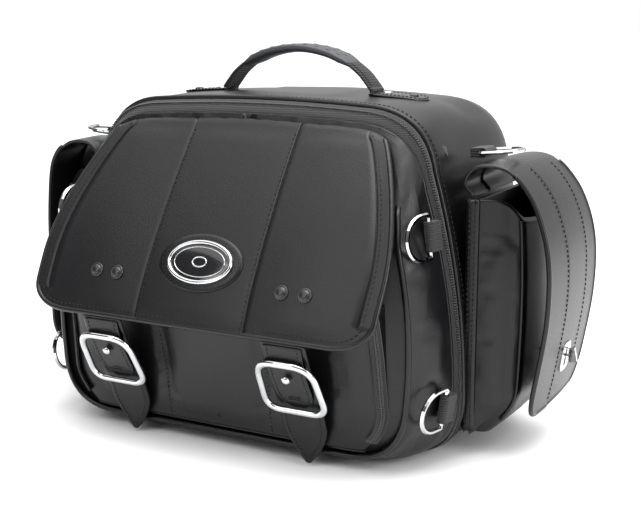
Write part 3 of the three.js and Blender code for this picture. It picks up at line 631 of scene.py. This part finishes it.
def build_lid():
    """The gusset, its soft folds, and the wall behind the pocket and the flap."""
    front_flat = outline(LID_FACE)
    back = stand(outline(LID), LID_REAR)
    front = stand(front_flat, np.minimum(lid_depth(front_flat[:, 1]), LID_REAR - 1))
    steps = np.concatenate([[0, 0.012], np.linspace(0.04, 0.96, 26), [0.988, 1.0]])
    rings = []
    for t in steps:
        ring = back * (1 - t) + front * t
        away = np.array([outward(p) for p in ring])
        belly = 4.2 * math.sin(math.pi * t) ** 0.8
        belly *= np.clip((ring[:, 2] - 20) / 60, 0.25, 1)
        fold = 2.6 * np.exp(-(((ring[:, 2] - (262 - 62 * t)) / 7.0) ** 2)) * math.sin(math.pi * t)
        fold -= 2.0 * np.exp(-(((ring[:, 2] - (247 - 66 * t)) / 8.0) ** 2)) * math.sin(math.pi * t)
        ripple = 1.1 * np.sin(ring[:, 2] / 17.0 + 5 * t) * math.sin(math.pi * t)
        side = np.abs(ring[:, 0]) > 140
        rings.append(ring + away * (belly + np.where(side, fold + ripple, 0))[:, None])
    lined_flat = outline(LID_FACE, WALL)
    lined_front = stand(lined_flat, np.minimum(lid_depth(lined_flat[:, 1]) + 4, LID_REAR - 1))
    lined_back = stand(outline(LID, WALL), LID_REAR)
    points, faces = loft([lined_front, lined_back] + rings, capped=True)
    skin = piece("lid_skin", "lid", points, faces, "leather", replaces=("lid_shell",))
    width = len(back)
    held = np.ones(len(points), bool)
    held[5 * width:(len(steps) - 1) * width] = False
    held |= near(points, [np.array([(side * 202, 62, z) for z in (205, 58)]) for side in (-1, 1)], 26)
    puff(skin, held, 60.0, 0.0020, slack=0.015)
    flat = outline(LID_FACE, 1.0)
    keep = (flat[:, 1] < 232) & (np.abs(flat[:, 0]) > 1)
    path = stand(flat, lid_depth(flat[:, 1]) - 1.6)[keep]
    right, left = path[path[:, 0] > 0], path[path[:, 0] < 0]
    piece("pocket_welt", "lid", *tube(np.vstack([left, right]), 2.6), "edge", replaces=("pocket_piping",))


# ---- the front pocket ----
POCKET = dict(bottom=20.5, top=150.0, bottom_half=166.0, top_half=160.0, back=31.4)


def pocket_face_depth(height):
    climbed = np.clip((height - POCKET["bottom"]) / (POCKET["top"] - POCKET["bottom"]), 0, 1)
    return 26.5 + (1 - 26.5) * climbed**1.15


def pocket_half(height):
    t = (height - POCKET["bottom"]) / (POCKET["top"] - POCKET["bottom"])
    corner = 51 * max(0.0, 1 - height / 60) ** 2
    return POCKET["bottom_half"] * (1 - t) + POCKET["top_half"] * t - corner


def pocket_row(height, columns=60):
    """Half a row of the pocket's face, from the middle round its side to the lid."""
    half, face = pocket_half(height), float(pocket_face_depth(height))
    turn = min(20, (POCKET["back"] - face) * 0.95)
    flat_x = np.linspace(0.01, half - 26, columns - 16)
    bend = bezier((half - 26, face), (half, face + turn * 0.15), (half, face + turn), np.linspace(0, 1, 15))
    x = np.concatenate([flat_x, bend[1:, 0], [half, half]])
    y = np.concatenate([np.full(len(flat_x), face), bend[1:, 1], [(face + turn + POCKET["back"]) / 2, POCKET["back"]]])
    seam = np.exp(-(((x - 51) / 0.9) ** 2))
    puff = 1.5 * np.sin(np.clip(x / 51, 0, 1) * math.pi / 2 + math.pi / 2) ** 0.5 * (x < 51)
    puff += 1.5 * np.sin(np.clip((x - 51) / (half - 77), 0, 1) * math.pi) * (x > 51)
    wave = 0.9 * math.sin(height / 19.0 + 1.0) * np.sin(x / 37.0) * (x < half - 20)
    fade = np.clip(min(height - POCKET["bottom"], POCKET["top"] - height) / 18, 0, 1)
    y = y - (puff + wave) * fade + 0.9 * seam
    return np.column_stack([x, y, np.full(len(x), height)])


def build_front_pocket():
    heights = np.concatenate([[20.5, 21.5, 24], np.linspace(28, 148, 46), [149.3, 150]])
    right = np.array([pocket_row(h) for h in heights])
    left = right[:, ::-1] * (-1, 1, 1)
    grid = np.concatenate([left, right], axis=1)
    points, faces = thick_sheet(grid, -2.4)
    face = piece("pocket_face", "lid", points, faces, "leather", replaces=("front_pocket",))
    held = (points[:, 2] < 30) | (points[:, 2] > 143) | (np.abs(points[:, 0]) > 128)
    held |= (np.abs(np.abs(points[:, 0]) - 52) < 3.5) | (np.abs(np.abs(points[:, 0]) - 93) < 24)
    puff(face, held, 50.0, 0.0013, slack=0.01)
    floor = np.array([pocket_row(20.6), pocket_row(20.6) * (1, 0, 1) + (0, POCKET["back"], 0)])
    floor = np.concatenate([floor[:, ::-1] * (-1, 1, 1), floor], axis=1)
    piece("pocket_floor", "lid", *thick_sheet(floor, -1.6), "leather")
    for side in (-1, 1):
        seam = np.array([(side * 54, pocket_face_depth(h) - 0.4, h) for h in np.linspace(24, 148, 40)])
        stitch("lid", seam, np.array((0, -1.0, -0.2)))
        chain = []
        for h in np.linspace(30, 148, 30):
            row = pocket_row(h)[-17:-2]
            spot = row[int(len(row) * 0.62)]
            chain.append((side * (spot[0] + 1.0), spot[1] - 0.8, h))
        cad = f"pocket_zip_{'left' if side < 0 else 'right'}"
        path = np.array(chain)
        piece(f"pocket_tape_{'left' if side < 0 else 'right'}", "lid",
              *tube(path, 6.2, flat=0.16, hint=(side * 0.8, -0.6, 0)), "tape", replaces=(cad,))
        coil("lid", path + (side * 0.9, -0.7, 0), np.array((side * 0.8, -0.6, 0.0)), width=5.0, pitch=1.6)


# ---- the front flap ----
def flap_profile(v):
    return bezier(FLAP["top"], FLAP["bend"], FLAP["end"], np.atleast_1d(v))


def flap_half(v):
    widest, corner_start, corner = 0.62, 0.82, 34
    grown = math.sin(min(v / widest, 1) * math.pi / 2)
    half = 136 + 37 * grown**0.77
    c = max(0.0, (v - corner_start) / (1 - corner_start))
    return half - 6 * max(0.0, v - widest) - corner * (1 - math.sqrt(1 - min(c * c, 0.9999)))


def flap_relief(x, edge, v):
    """How far the flap's face stands out: overlapped panels, a sewn side band, soft padding."""
    x = abs(x)
    lap = 1.0 / (1 + math.exp(min(60, (x - FLAP_SEAM) / 0.16))) * 0.9
    groove = -1.0 * math.exp(-(((x - FLAP_SEAM - 0.5) / 0.45) ** 2))
    band = 0.8 / (1 + math.exp(min(60, (edge - 12.3) / 0.16))) if v < 0.86 else 0.0
    band_groove = -1.1 * math.exp(-(((edge - 12.8) / 0.5) ** 2)) if v < 0.86 else 0.0
    inner = math.cos(min(x / FLAP_SEAM, 1) * math.pi / 2) ** 0.6 * 1.1 if x < FLAP_SEAM else 0
    outer_span = np.clip((x - FLAP_SEAM) / 95, 0, 1)
    outer = 1.2 * math.sin(math.pi * outer_span) if x > FLAP_SEAM else 0
    fade = min(1.0, (1 - v) / 0.12, v / 0.05 + 0.2)
    return lap + groove + band + band_groove + (inner + outer) * fade


def flap_tangents(v):
    step = 1e-3
    down = flap_profile(min(v + step, 1))[0] - flap_profile(max(v - step, 0))[0]
    down /= np.linalg.norm(down)
    return np.array((0, down[0], down[1])), np.array((0, down[1], -down[0]))


def flap_point(x, v, proud=0.0):
    y, z = flap_profile(v)[0]
    return np.array((x, y, z)) + flap_tangents(v)[1] * proud


def build_flap():
    over_seam = [53.4, 54.0, 54.3, 54.6, 54.9, 55.2, 55.6, 56.4]
    inner = np.concatenate([np.linspace(0.01, 52, 18), over_seam, np.linspace(60, 106, 14)])
    edges = np.array([13.9, 13.3, 12.9, 12.6, 12.3, 12.0, 11.4, 10, 8, 6, 4, 2.4, 1.2, 0.5, 0.0])
    rows = np.concatenate([np.linspace(0, 0.8, 40), np.linspace(0.82, 0.97, 16), [0.98, 0.988, 0.994, 0.998, 1.0]])
    grid = []
    for v in rows:
        half = flap_half(v)
        ease = np.linspace(106, half - 13.9, 8)[1:-1]
        xs = np.concatenate([inner, ease, half - edges])
        right = [flap_point(x, v, flap_relief(x, half - x, v)) for x in xs]
        right = np.array(right)
        grid.append(np.concatenate([right[::-1] * (-1, 1, 1), right]))
    rise = -flap_tangents(0)[0]
    crest = outline(LID, 4.0)
    crest = crest[(crest[:, 0] > 0) & (crest[:, 1] > 150)]
    root = []
    for reach in (13.0, 9.0, 4.5):
        row = np.array(grid[0]) + rise * reach
        row[:, 2] = np.minimum(row[:, 2], np.interp(-np.abs(row[:, 0]), -crest[:, 0], crest[:, 1]))
        root.append(row)
    points, faces = thick_sheet(np.array(root + grid), LEATHER)
    skin = piece("flap_skin", "front_flap", points, faces, "leather", replaces=("front_flap",), ride=False)
    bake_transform(skin)
    rim = [flap_point(side * flap_half(v), v, 0.0) + (0, 1.3, 0.0) for side, vs in
           ((-1, np.linspace(0.01, 1, 70)), (1, np.linspace(1, 0.01, 70))) for v in vs]
    rim = np.array(rim)
    bottom = np.array([flap_point(x, 1.0) + (0, 1.3, 0) for x in np.linspace(-flap_half(1.0), flap_half(1.0), 60)])
    path = resample(np.vstack([rim[:70], bottom[1:-1], rim[70:]]), 3.0)
    piece("flap_binding", "front_flap", *tube(path, 2.5, hint=(0, -0.9, 0.3)), "edge")
    inset_path = []
    inset = 8.6
    for v in np.linspace(0.0, 0.82, 50):
        inset_path.append((-(flap_half(v) - inset), v))
    for angle in np.linspace(0, math.pi / 2, 18)[1:]:
        reach = 34 - inset
        x = flap_half(0.82) - 34 + reach * math.cos(angle)
        inset_path.append((-x, 0.82 + 0.18 * (reach / 34) * math.sin(angle)))
    low = inset_path[-1][1]
    left = [flap_point(x, v, 0.9) for x, v in inset_path]
    across = [flap_point(x, low, 0.9) for x in np.linspace(inset_path[-1][0], -inset_path[-1][0], 60)[1:-1]]
    right = [p * (-1, 1, 1) for p in left[::-1]]
    out = flap_tangents(0.6)[1]
    stitch("front_flap", np.array(left + across + right), out, pitch=4.6)
    for side in (-1, 1):
        seam = np.array([flap_point(side * (FLAP_SEAM - 2.0), v, 1.2) for v in np.linspace(0.01, 0.99, 60)])
        stitch("front_flap", seam, out, pitch=4.6)


def on_flap(height):
    vs = np.linspace(0, 1, 2000)
    heights = flap_profile(vs)[:, 1]
    v = float(vs[int(np.argmin(np.abs(heights - height)))])
    return v, flap_tangents(v)


def disc_stack(centre, right, up, out, profile, body, name, material, squash=1.0, sides=40, replaces=()):
    """A turned solid: rings of the given half-widths at the given heights out from a centre."""
    rings = []
    for radius, rise in profile:
        angles = np.arange(sides) * 2 * math.pi / sides
        rings.append(centre + out * rise + radius * (np.outer(np.cos(angles), right)
                     + squash * np.outer(np.sin(angles), up)))
    points, faces = loft(rings, capped=False)
    last = (len(rings) - 1) * sides
    faces += [tuple(range(sides)), tuple(range(last, last + sides))]
    return piece(name, body, points, faces, material, replaces=replaces)


def build_badge_and_rivets():
    v, (down, out) = on_flap(BADGE_HEIGHT)
    centre = flap_point(0.0, v, 1.6)
    right = np.array((1.0, 0, 0))
    disc_stack(centre, right, -down, out, [(42, -0.8), (42.2, 0.6), (41.4, 1.2), (36, 1.5), (10, 1.5)],
               "front_flap", "badge_pad", "edge", 0.63, 72)
    angles = np.linspace(0, 2 * math.pi, 120, endpoint=False)
    ring = np.array([centre + right * 31.4 * math.cos(a) - down * 18.2 * math.sin(a) + out * 2.4 for a in angles])
    piece("badge_bezel", "front_flap", *tube(ring, 2.0, closed=True, sides=14, hint=tuple(out)), "chrome",
          replaces=("badge_rim",))
    disc_stack(centre, right, -down, out, [(30.4, 0.6), (30.4, 2.0), (29.6, 2.3), (24, 2.7), (12, 3.0)],
               "front_flap", "badge_face", "inlay", 0.57, 72, ("badge_plate",))
    for reach, drop, thick in ((25.5, 13.6, 0.45), (7.0, 4.4, 0.7)):
        line = [centre + right * reach * math.cos(a) - down * drop * math.sin(a) + out * 2.9 for a in angles]
        piece(f"badge_line_{int(reach)}", "front_flap",
              *tube(np.array(line), thick, closed=True, sides=8, hint=tuple(out)), "chrome")
    row = np.array([centre + right * 38.4 * math.cos(a) - down * 24.0 * math.sin(a) + out * 1.2 for a in angles])
    stitch("front_flap", row, out, pitch=4.0, closed=True)
    v, (down, out) = on_flap(RIVET_HEIGHT)
    for side, hand in ((-1, "left"), (1, "right")):
        for x, spot in zip(RIVET_COLUMNS, ("inner", "outer")):
            centre = flap_point(side * x, v, 1.4)
            rim = [(6.6, -0.6), (6.6, 0.5), (6.2, 1.3), (5.6, 1.7)]
            profile = rim + [(5.0, 1.35), (4.7, 1.25), (4.2, 2.0), (2.6, 2.6), (0.6, 2.8)]
            disc_stack(centre, right, -down, out, profile, "front_flap", f"rivet_{hand}_{spot}", "rivet",
                       replaces=(f"flap_rivet_{hand}_{spot}",))


# ---- straps and buckles ----
STRAP = dict(half=20.0, top=121.0, tip=4.0, top_depth=-23.5, tip_depth=21.0, point=34.0)


def strap_depth(height):
    drop = (STRAP["top"] - height) / (STRAP["top"] - STRAP["tip"])
    eased = math.sin(math.pi / 2 * min(max(drop, 0), 1) ** 1.22)
    return STRAP["top_depth"] + (STRAP["tip_depth"] - STRAP["top_depth"]) * eased


def strap_out(height):
    fall = (strap_depth(height - 4) - strap_depth(height + 4)) / 8
    out = np.array((0, -1.0, -fall))
    return out / np.linalg.norm(out)


def strap_strip(x, heights, halves, lift):
    grid = []
    for h, half, up in zip(heights, halves, lift):
        base = np.array((x, strap_depth(h), h)) + strap_out(h) * up
        grid.append([base + (side * half, 0, 0) for side in np.linspace(-1, 1, 13)])
    return np.array(grid)


def build_straps():
    """Each strap: the long pointed piece behind, and the shorter tongue through the buckle."""
    for side, hand in ((-1, "left"), (1, "right")):
        x, body = side * STRAP_X, f"strap_{hand}"
        heights = np.concatenate([np.linspace(120.5, 44, 24), np.linspace(41, 4, 26)])
        toward = np.clip(1 - (heights - STRAP["tip"]) / STRAP["point"], 0, 1)
        halves = STRAP["half"] * (1 - 0.93 * toward**1.7)
        lift = np.zeros(len(heights))
        piece(f"strap_tail_{hand}", body, *thick_sheet(strap_strip(x, heights, halves, lift), 2.8), "edge",
              replaces=(f"strap_{hand}",))
        tongue = np.linspace(119, 58.5, 36)
        into = np.clip(1 - (tongue - 58.5) / 20, 0, 1)
        tongue_half = 17.5 * np.sqrt(np.maximum(1 - into**2.4, 0.03))
        rise = 1.6 + 2.2 * np.sin(np.clip((118 - tongue) / 52, 0, 1) * math.pi)
        piece(f"strap_tongue_{hand}", body, *thick_sheet(strap_strip(x, tongue, tongue_half, rise), 1.5), "leather")
        for edge in (-1, 1):
            row = [np.array((x + edge * (half - 3.2), strap_depth(h), h)) + strap_out(h) * (up + 0.1)
                   for h, half, up in zip(tongue, tongue_half, rise) if h > 66]
            stitch(body, np.array(row), strap_out(90), pitch=3.6)
            row = [np.array((x + edge * max(half - 3.4, 0.3), strap_depth(h), h)) + strap_out(h) * 0.15
                   for h, half in zip(heights, halves) if 8 < h < 52]
            stitch(body, np.array(row), strap_out(30), pitch=3.6)
        slit_z = 68.5
        slit = np.array([(x - 2 + s, strap_depth(slit_z), slit_z) for s in np.linspace(-5, 6, 12)])
        slit = slit + strap_out(slit_z) * 3.6
        piece(f"strap_slit_{hand}", body, *tube(slit, 1.0, flat=0.5), "thread")
        build_buckle(x, hand, body)


def build_buckle(x, hand, body):
    """A chrome frame, rounded and wider low down, with its stud through the strap."""
    corners = [(-29, -27, 13), (29, -27, 13), (26, 27, 19), (-26, 27, 19)]
    loop = []
    for k, (cx, cz, radius) in enumerate(corners):
        before, after = np.array(corners[k - 1][:2]), np.array(corners[(k + 1) % 4][:2])
        corner = np.array((cx, cz))
        start = corner + (before - corner) / np.linalg.norm(before - corner) * radius
        finish = corner + (after - corner) / np.linalg.norm(after - corner) * radius
        loop.append(bezier(start, corner, finish, np.linspace(0, 1, 12)))
    loop = np.concatenate(loop)
    centre_z = 80.5
    out = strap_out(centre_z)
    up = np.cross(out, (1.0, 0, 0))
    up = up * np.sign(up[2])
    centre = np.array((x, strap_depth(centre_z) - 5.6, centre_z))
    bow = lambda p: 1.6 * (1 - (p[0] / 31) ** 2)
    path = np.array([centre + (p[0], 0, 0) + up * p[1] + out * bow(p) for p in loop])
    path = resample(path, 2.2, closed=True)
    piece(f"buckle_frame_{hand}", body, *tube(path, 3.3, closed=True, sides=16, flat=0.75, hint=tuple(out)), "chrome",
          replaces=(f"buckle_{hand}",))
    z = 92.0
    base = np.array((x, strap_depth(z), z)) + strap_out(z) * 2.0
    profile = [(2.4, 0), (2.2, 1.6), (2.6, 2.6), (3.7, 3.6), (4.1, 5.0), (3.6, 6.4), (2.2, 7.2), (0.4, 7.6)]
    disc_stack(base, np.array((1.0, 0, 0)), up, strap_out(z), profile, body, f"stud_{hand}", "chrome", sides=20,
               replaces=(f"strap_stud_{hand}",))


# ---- side pockets and their flaps ----
def side_pocket_rows(inset, heights):
    """Rings of the side pocket on the right, its top falling towards a rounded outer corner."""
    rings = []
    front, rear = SIDE["front"] + inset, SIDE["rear"] - inset
    middle, r, inner = (front + rear) / 2, 12, SIDE["inner"] + inset
    for h in heights:
        tuck = 26 * max(0.0, 1 - (h - SIDE["bottom"]) / 46) ** 2
        swell = 3.0 * math.sin(math.pi * np.clip((h - 40) / 190, 0, 1))
        outer = SIDE["outer"] - 2 - inset - tuck + swell
        half = [(inner, y) for y in np.linspace(middle - 0.01, front - SIDE["skew"], 8)]
        for x in np.linspace(inner, outer - r, 14)[1:]:
            part = (x - inner) / (outer - r - inner)
            half.append((x, front - SIDE["skew"] * (1 - part) - 2.4 * math.sin(math.pi * part)))
        corner = bezier((outer - r, front), (outer, front), (outer, front + r), np.linspace(0, 1, 9))
        half += [tuple(p) for p in corner[1:]]
        for y in np.linspace(front + r, middle - 0.01, 12)[1:]:
            half.append((outer + 2.0 * math.sin(math.pi * (y - front - r) / (rear - front - 2 * r)), y))
        half = np.array(half)
        other = np.column_stack([half[::-1, 0], 2 * middle - half[::-1, 1]])
        flat = np.concatenate([half, other])
        across = np.clip((flat[:, 0] - inner - 14) / (SIDE["outer"] - inner - 14), 0, 1)
        drop = 24 * across**2 * np.clip((h - 150) / 81, 0, 1) ** 1.5
        rings.append(np.column_stack([flat, h - drop]))
    return rings


def flipped(points, side):
    return np.asarray(points) * (side, 1, 1)


SIDE_SEAM = 150.0
SIDE_SECTION = {
    "right": [(239.4, 255.4), (251, 245), (264, 226), (274, 198), (278, 168), (277, 130), (271, 88), (263, 45)],
    "left": [
        (239.4, 255.4), (247.5, 249), (253, 239), (255.6, 226), (256.6, 198),
        (257, 168), (257, 130), (257, 88), (256.4, 45),
    ],
}
ROOT_CURVE = np.array([(205, 234.5), (197.6, 243), (200, 252.5), (208, 259), (222, 260.5), (232, 258.9)])


def smooth_curve(points, count):
    """A Catmull-Rom curve through points, evenly spaced along its length."""
    padded = np.vstack([2 * points[0] - points[1], points, 2 * points[-1] - points[-2]])
    made = []
    for a, b, c, d in zip(padded[:-3], padded[1:-2], padded[2:-1], padded[3:]):
        t = np.linspace(0, 1, 20)[:, None]
        made.append(0.5 * (2 * b + (c - a) * t + (2 * a - 5 * b + 4 * c - d) * t**2 + (3 * b - a - 3 * c + d) * t**3))
    made = np.concatenate(made)
    three = np.column_stack([made, np.zeros(len(made))])
    length = np.linalg.norm(np.diff(three, axis=0), axis=1).sum()
    return resample(three, length / (count - 1))[:, :2]


def build_side(side, hand):
    heights = np.concatenate([[20, 21, 23, 26], np.linspace(30, 226, 40), [229.5, 231]])
    outer = side_pocket_rows(0.0, heights)
    inner = side_pocket_rows(2.6, heights[2:])[::-1]
    points, faces = loft(outer + inner)
    skin = piece(f"side_pocket_skin_{hand}", "case", flipped(points, side), faces, "leather",
                 replaces=(f"side_pocket_{hand}",))
    held = (points[:, 0] < 214) | (points[:, 2] < 34) | (points[:, 2] > 196) | (points[:, 0] > 244)
    held[len(outer) * len(outer[0]):] = True
    puff(skin, held, 50.0, 0.0015, slack=0.01)
    for offset, name in ((0, "front"), (1, "rear")):
        path = []
        for h in np.linspace(34, 229, 60):
            row = side_pocket_rows(0.0, [h])[0]
            half = len(row) // 2
            k = int(np.argmax(row[:half, 0] - row[:half, 1]))
            spot = row[k] if offset == 0 else row[len(row) - 1 - k]
            path.append(spot + (0.6, -0.6 if offset == 0 else 0.6, 0))
        points, faces = tube(np.array(path), 2.0)
        piece(f"side_welt_{name}_{hand}", "case", flipped(points, side), faces, "edge")
    seam_y = SIDE["front"] - SIDE["skew"] - 0.6
    strip = np.array([(SIDE["inner"] - 1.4, seam_y, h) for h in np.linspace(24, 231, 60)])
    points, faces = tube(strip, 6.0, flat=0.3, hint=(0.1, -1, 0))
    piece(f"side_strip_{hand}", "case", flipped(points, side), faces, "leather")
    for shift in (-2.6, 2.6):
        stitch("case", flipped(strip + (shift, -1.75, 0), side), np.array((0, -1.0, 0)), pitch=4.6, radius=0.75)

    section = np.array(SIDE_SECTION[hand], float)
    curve = smooth_curve(np.vstack([ROOT_CURVE, section]), 110)
    start = int(np.argmin(np.linalg.norm(curve - section[0], axis=1)))
    grid = []
    columns = np.concatenate([[0, 0.004, 0.01, 0.02], np.linspace(0.05, 0.95, 60), [0.98, 0.99, 0.996, 1.0]])
    front, rear = SIDE_FLAP["front"], SIDE_FLAP["rear"]
    for k, (x, z) in enumerate(curve):
        v = max(0.0, (k - start) / (len(curve) - 1 - start))
        c = max(0.0, (v - 0.86) / 0.14)
        flare = SIDE_FLAP["flare"] * math.sin(math.pi / 2 * min(1, v / 0.5))
        flare = flare - 20 * (1 - math.sqrt(1 - min(c * c, 0.9999)))
        tangent = curve[min(k + 1, len(curve) - 1)] - curve[max(k - 1, 0)]
        tangent /= np.linalg.norm(tangent)
        row = []
        for u in columns:
            y = front - flare + (rear - front + 2 * flare) * u
            relief = 1.6 * math.sin(math.pi * u)
            lap = 1.0 / (1 + math.exp(min(60, (y - SIDE_SEAM) / 0.25)))
            relief += lap - 1.2 * math.exp(-(((y - SIDE_SEAM - 1.2) / 0.9) ** 2))
            row.append((x - tangent[1] * relief, y, z + tangent[0] * relief))
        grid.append(row)
    grid = np.array(grid)
    points, faces = thick_sheet(grid, LEATHER)
    skin = piece(f"side_flap_skin_{hand}", "case", flipped(points, side), faces, "leather",
                 replaces=(f"side_flap_{hand}", f"side_flap_root_{hand}"), ride=False)
    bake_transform(skin)
    first = start + 2
    edge = resample(np.vstack([grid[first:, 0], grid[-1], grid[first:, -1][::-1]]), 2.5)
    points, faces = tube(edge + (-1.4, 0, 0), 2.3, hint=(1, 0, 0.05))
    piece(f"side_flap_binding_{hand}", f"side_flap_{hand}", flipped(points, side), faces, "edge")
    for depth, last in ((SIDE_SEAM - 2.6, len(grid) - 3), (rear - 26, len(grid) - 10)):
        row = []
        for k in range(first, last):
            row.append([np.interp(depth, grid[k, :, 1], grid[k, :, axis]) for axis in range(3)])
        row = np.array(row) + (0.15, 0, 0)
        lean = np.gradient(row, axis=0)
        outs = np.column_stack([-lean[:, 2], np.zeros(len(row)), lean[:, 0]])
        outs /= np.linalg.norm(outs, axis=1, keepdims=True)

        def away(spot, row=flipped(row, side), outs=flipped(outs, side)):
            return outs[int(np.argmin(np.linalg.norm(row - spot, axis=1)))]

        stitch(f"side_flap_{hand}", flipped(row, side), away, pitch=4.4)


# ---- D-rings, loops, handle ----
def build_snaps():
    """Flat caps sunk a little in the case's shoulders."""
    shoulder = outline(CASE)
    for side, hand in ((-1, "left"), (1, "right")):
        for y, spot in ((126, "front"), (236, "rear")):
            k = int(np.argmin(np.abs(shoulder[:, 0] - 172) + np.abs(shoulder[:, 1] - 271)))
            tangent = shoulder[k + 1] - shoulder[k - 1]
            tangent /= np.linalg.norm(tangent)
            out = np.array((side * tangent[1], 0, -tangent[0]))
            out *= np.sign(out[2])
            right = np.array((0, 1.0, 0))
            centre = np.array((side * shoulder[k, 0], y, shoulder[k, 1]))
            rim = [(7.4, -0.8), (7.4, 0.2), (7.0, 0.7), (6.0, 0.3)]
            profile = rim + [(5.6, 0.3), (5.2, 0.9), (4.0, 1.3), (1.0, 1.5)]
            disc_stack(centre, right, np.cross(out, right), out, profile, "case", f"snap_{hand}_{spot}",
                       "rivet", sides=28)


def along_handle(count):
    """Points along the handle, with the way up at each."""
    rise = np.array(HANDLE_RISE, float)
    points = np.vstack([rise * (-1, 1), [(0, HANDLE_TOP)], rise[::-1]])
    curve = smooth_curve(points, count)
    tangent = np.gradient(curve, axis=0)
    tangent /= np.linalg.norm(tangent, axis=1, keepdims=True)
    ups = np.column_stack([-tangent[:, 1], np.zeros(count), tangent[:, 0]])
    return np.column_stack([curve[:, 0], np.full(count, HANDLE_DEPTH), curve[:, 1]]), ups


def build_handle():
    """Ribbed webbing threaded through a moulded grip that is pierced along its top."""
    curve, ups = along_handle(110)
    grid = np.array([[p + (0, w, 0) for w in np.linspace(-12.5, 12.5, 9)] for p in curve])
    piece("handle_strap", "case", *thick_sheet(grid, 3.2), "webbing", replaces=("handle_webbing",))
    for k in range(3, len(curve) - 3):
        for step in (0.25, 0.75):
            centre = curve[k] * (1 - step) + curve[k + 1] * step
            ribs.add("case", *bead(centre + ups[k] * 0.1, np.array((0, 1.0, 0)), ups[k], 25.0, 0.55, 0.5))
    grip = range(17, 93)
    rings = []
    for k in grip:
        end = np.clip(min(k - 17, 92 - k) / 9, 0.0, 1) ** 0.5
        angles = np.arange(28) * 2 * math.pi / 28
        width = 10.0 + 6.4 * end
        across = np.sign(np.cos(angles)) * np.abs(np.cos(angles)) ** 0.6 * width
        sines = np.sin(angles)
        rise = np.where(sines > 0, 2.4 * end + 0.3, 5.0 * end + 0.6) * np.sign(sines) * np.abs(sines) ** 0.7
        rings.append(curve[k] - ups[k] * 1.2 + np.outer(across, (0, 1, 0)) + np.outer(rise, ups[k]))
    points, faces = loft(rings, capped=False)
    last = (len(rings) - 1) * 28
    faces += [tuple(range(28)), tuple(range(last, last + 28))]
    piece("grip", "case", points, faces, "rubber", replaces=("handle_grip",))
    for k in range(25, 87, 7):
        centre = curve[k] + ups[k] * 1.35
        along = np.cross(np.array((0, 1.0, 0)), ups[k])
        for shift, half_along, half_across in ((0, 4.0, 4.6), (-11, 2.2, 1.7), (11, 2.2, 1.7)):
            ring = [centre + (0, shift + half_across * math.cos(a), 0) + along * half_along * math.sin(a)
                    for a in np.linspace(0, 2 * math.pi, 20, endpoint=False)]
            points, faces = loft([np.array(ring) - ups[k] * 0.9, np.array(ring) + ups[k] * 0.12], capped=True)
            holes.add("case", points, faces)
    for side, hand in ((-1, "left"), (1, "right")):
        pad = []
        for u in np.linspace(0, 1, 30):
            half = 17 * math.sqrt(max(1 - abs(2 * u - 1) ** 5, 0.03))
            x = 75 + 58 * u
            rest = np.interp(x, CREST[:, 0], CREST[:, 1])
            pad.append([(side * x, HANDLE_DEPTH + half * w, rest + 3.1 + 0.8 * (1 - w * w))
                        for w in np.linspace(-1, 1, 15)])
        pad = np.array(pad)
        piece(f"handle_pad_{hand}", "case", *thick_sheet(pad, 2.6 * side), "edge", replaces=(f"handle_tab_{hand}",))
        far, close = pad[-2:-1, 3:-3].reshape(-1, 3), pad[1:2, 3:-3].reshape(-1, 3)
        rim = np.vstack([pad[2:-2, 1], far, pad[2:-2, -2][::-1], close[::-1]])
        stitch("case", rim + (0, 0, 0.2), np.array((0, 0, 1.0)), pitch=4.0, closed=True)
        for x in (92, 119):
            centre = np.array((side * x, HANDLE_DEPTH, np.interp(x, CREST[:, 0], CREST[:, 1]) + 3.7))
            profile = [(4.6, 0), (4.6, 0.5), (3.6, 1.3), (1.0, 1.8)]
            disc_stack(centre, np.array((1.0, 0, 0)), np.array((0, 1.0, 0)), np.array((0, 0, 1.0)), profile,
                       "case", f"pad_rivet_{hand}_{x}", "chrome" if x == 92 else "rivet", sides=24)


def dress_cad_pieces():
    """Materials for the frame's own pieces that show as they are."""
    for node, material in (
        ("base_board", "lining"), ("zip_slider", "plastic"), ("zip_pull", "plastic"),
        *((f"{k}_{h}_ring", "chrome") for k in ("upper", "lower", "shoulder") for h in ("left", "right")),
        *((f"{k}_{h}_loop", "webbing") for k in ("upper", "lower", "shoulder") for h in ("left", "right")),
        *((f"{k}_{h}", "chrome") for k in ("lock_base", "lock_plate", "lock_knob") for h in ("left", "right")),
        *((f"{k}_{h}", "plastic") for k in ("clip_socket", "clip_plug") for h in ("left", "right")),
    ):
        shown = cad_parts[node]
        shown.data.materials.clear()
        shown.data.materials.append(MATERIAL[material])


make_camera()
make_stage()
build_case()
build_main_zip()
build_lid()
build_front_pocket()
build_flap()
build_badge_and_rivets()
build_straps()
for side, hand in ((-1, "left"), (1, "right")):
    build_side(side, hand)
build_snaps()
build_handle()
dress_cad_pieces()
stitching.finish("stitching", "thread")
coils.finish("zip_coil", "coil")
ribs.finish("webbing_rib", "webbing")
holes.finish("grip_hole", "lining")
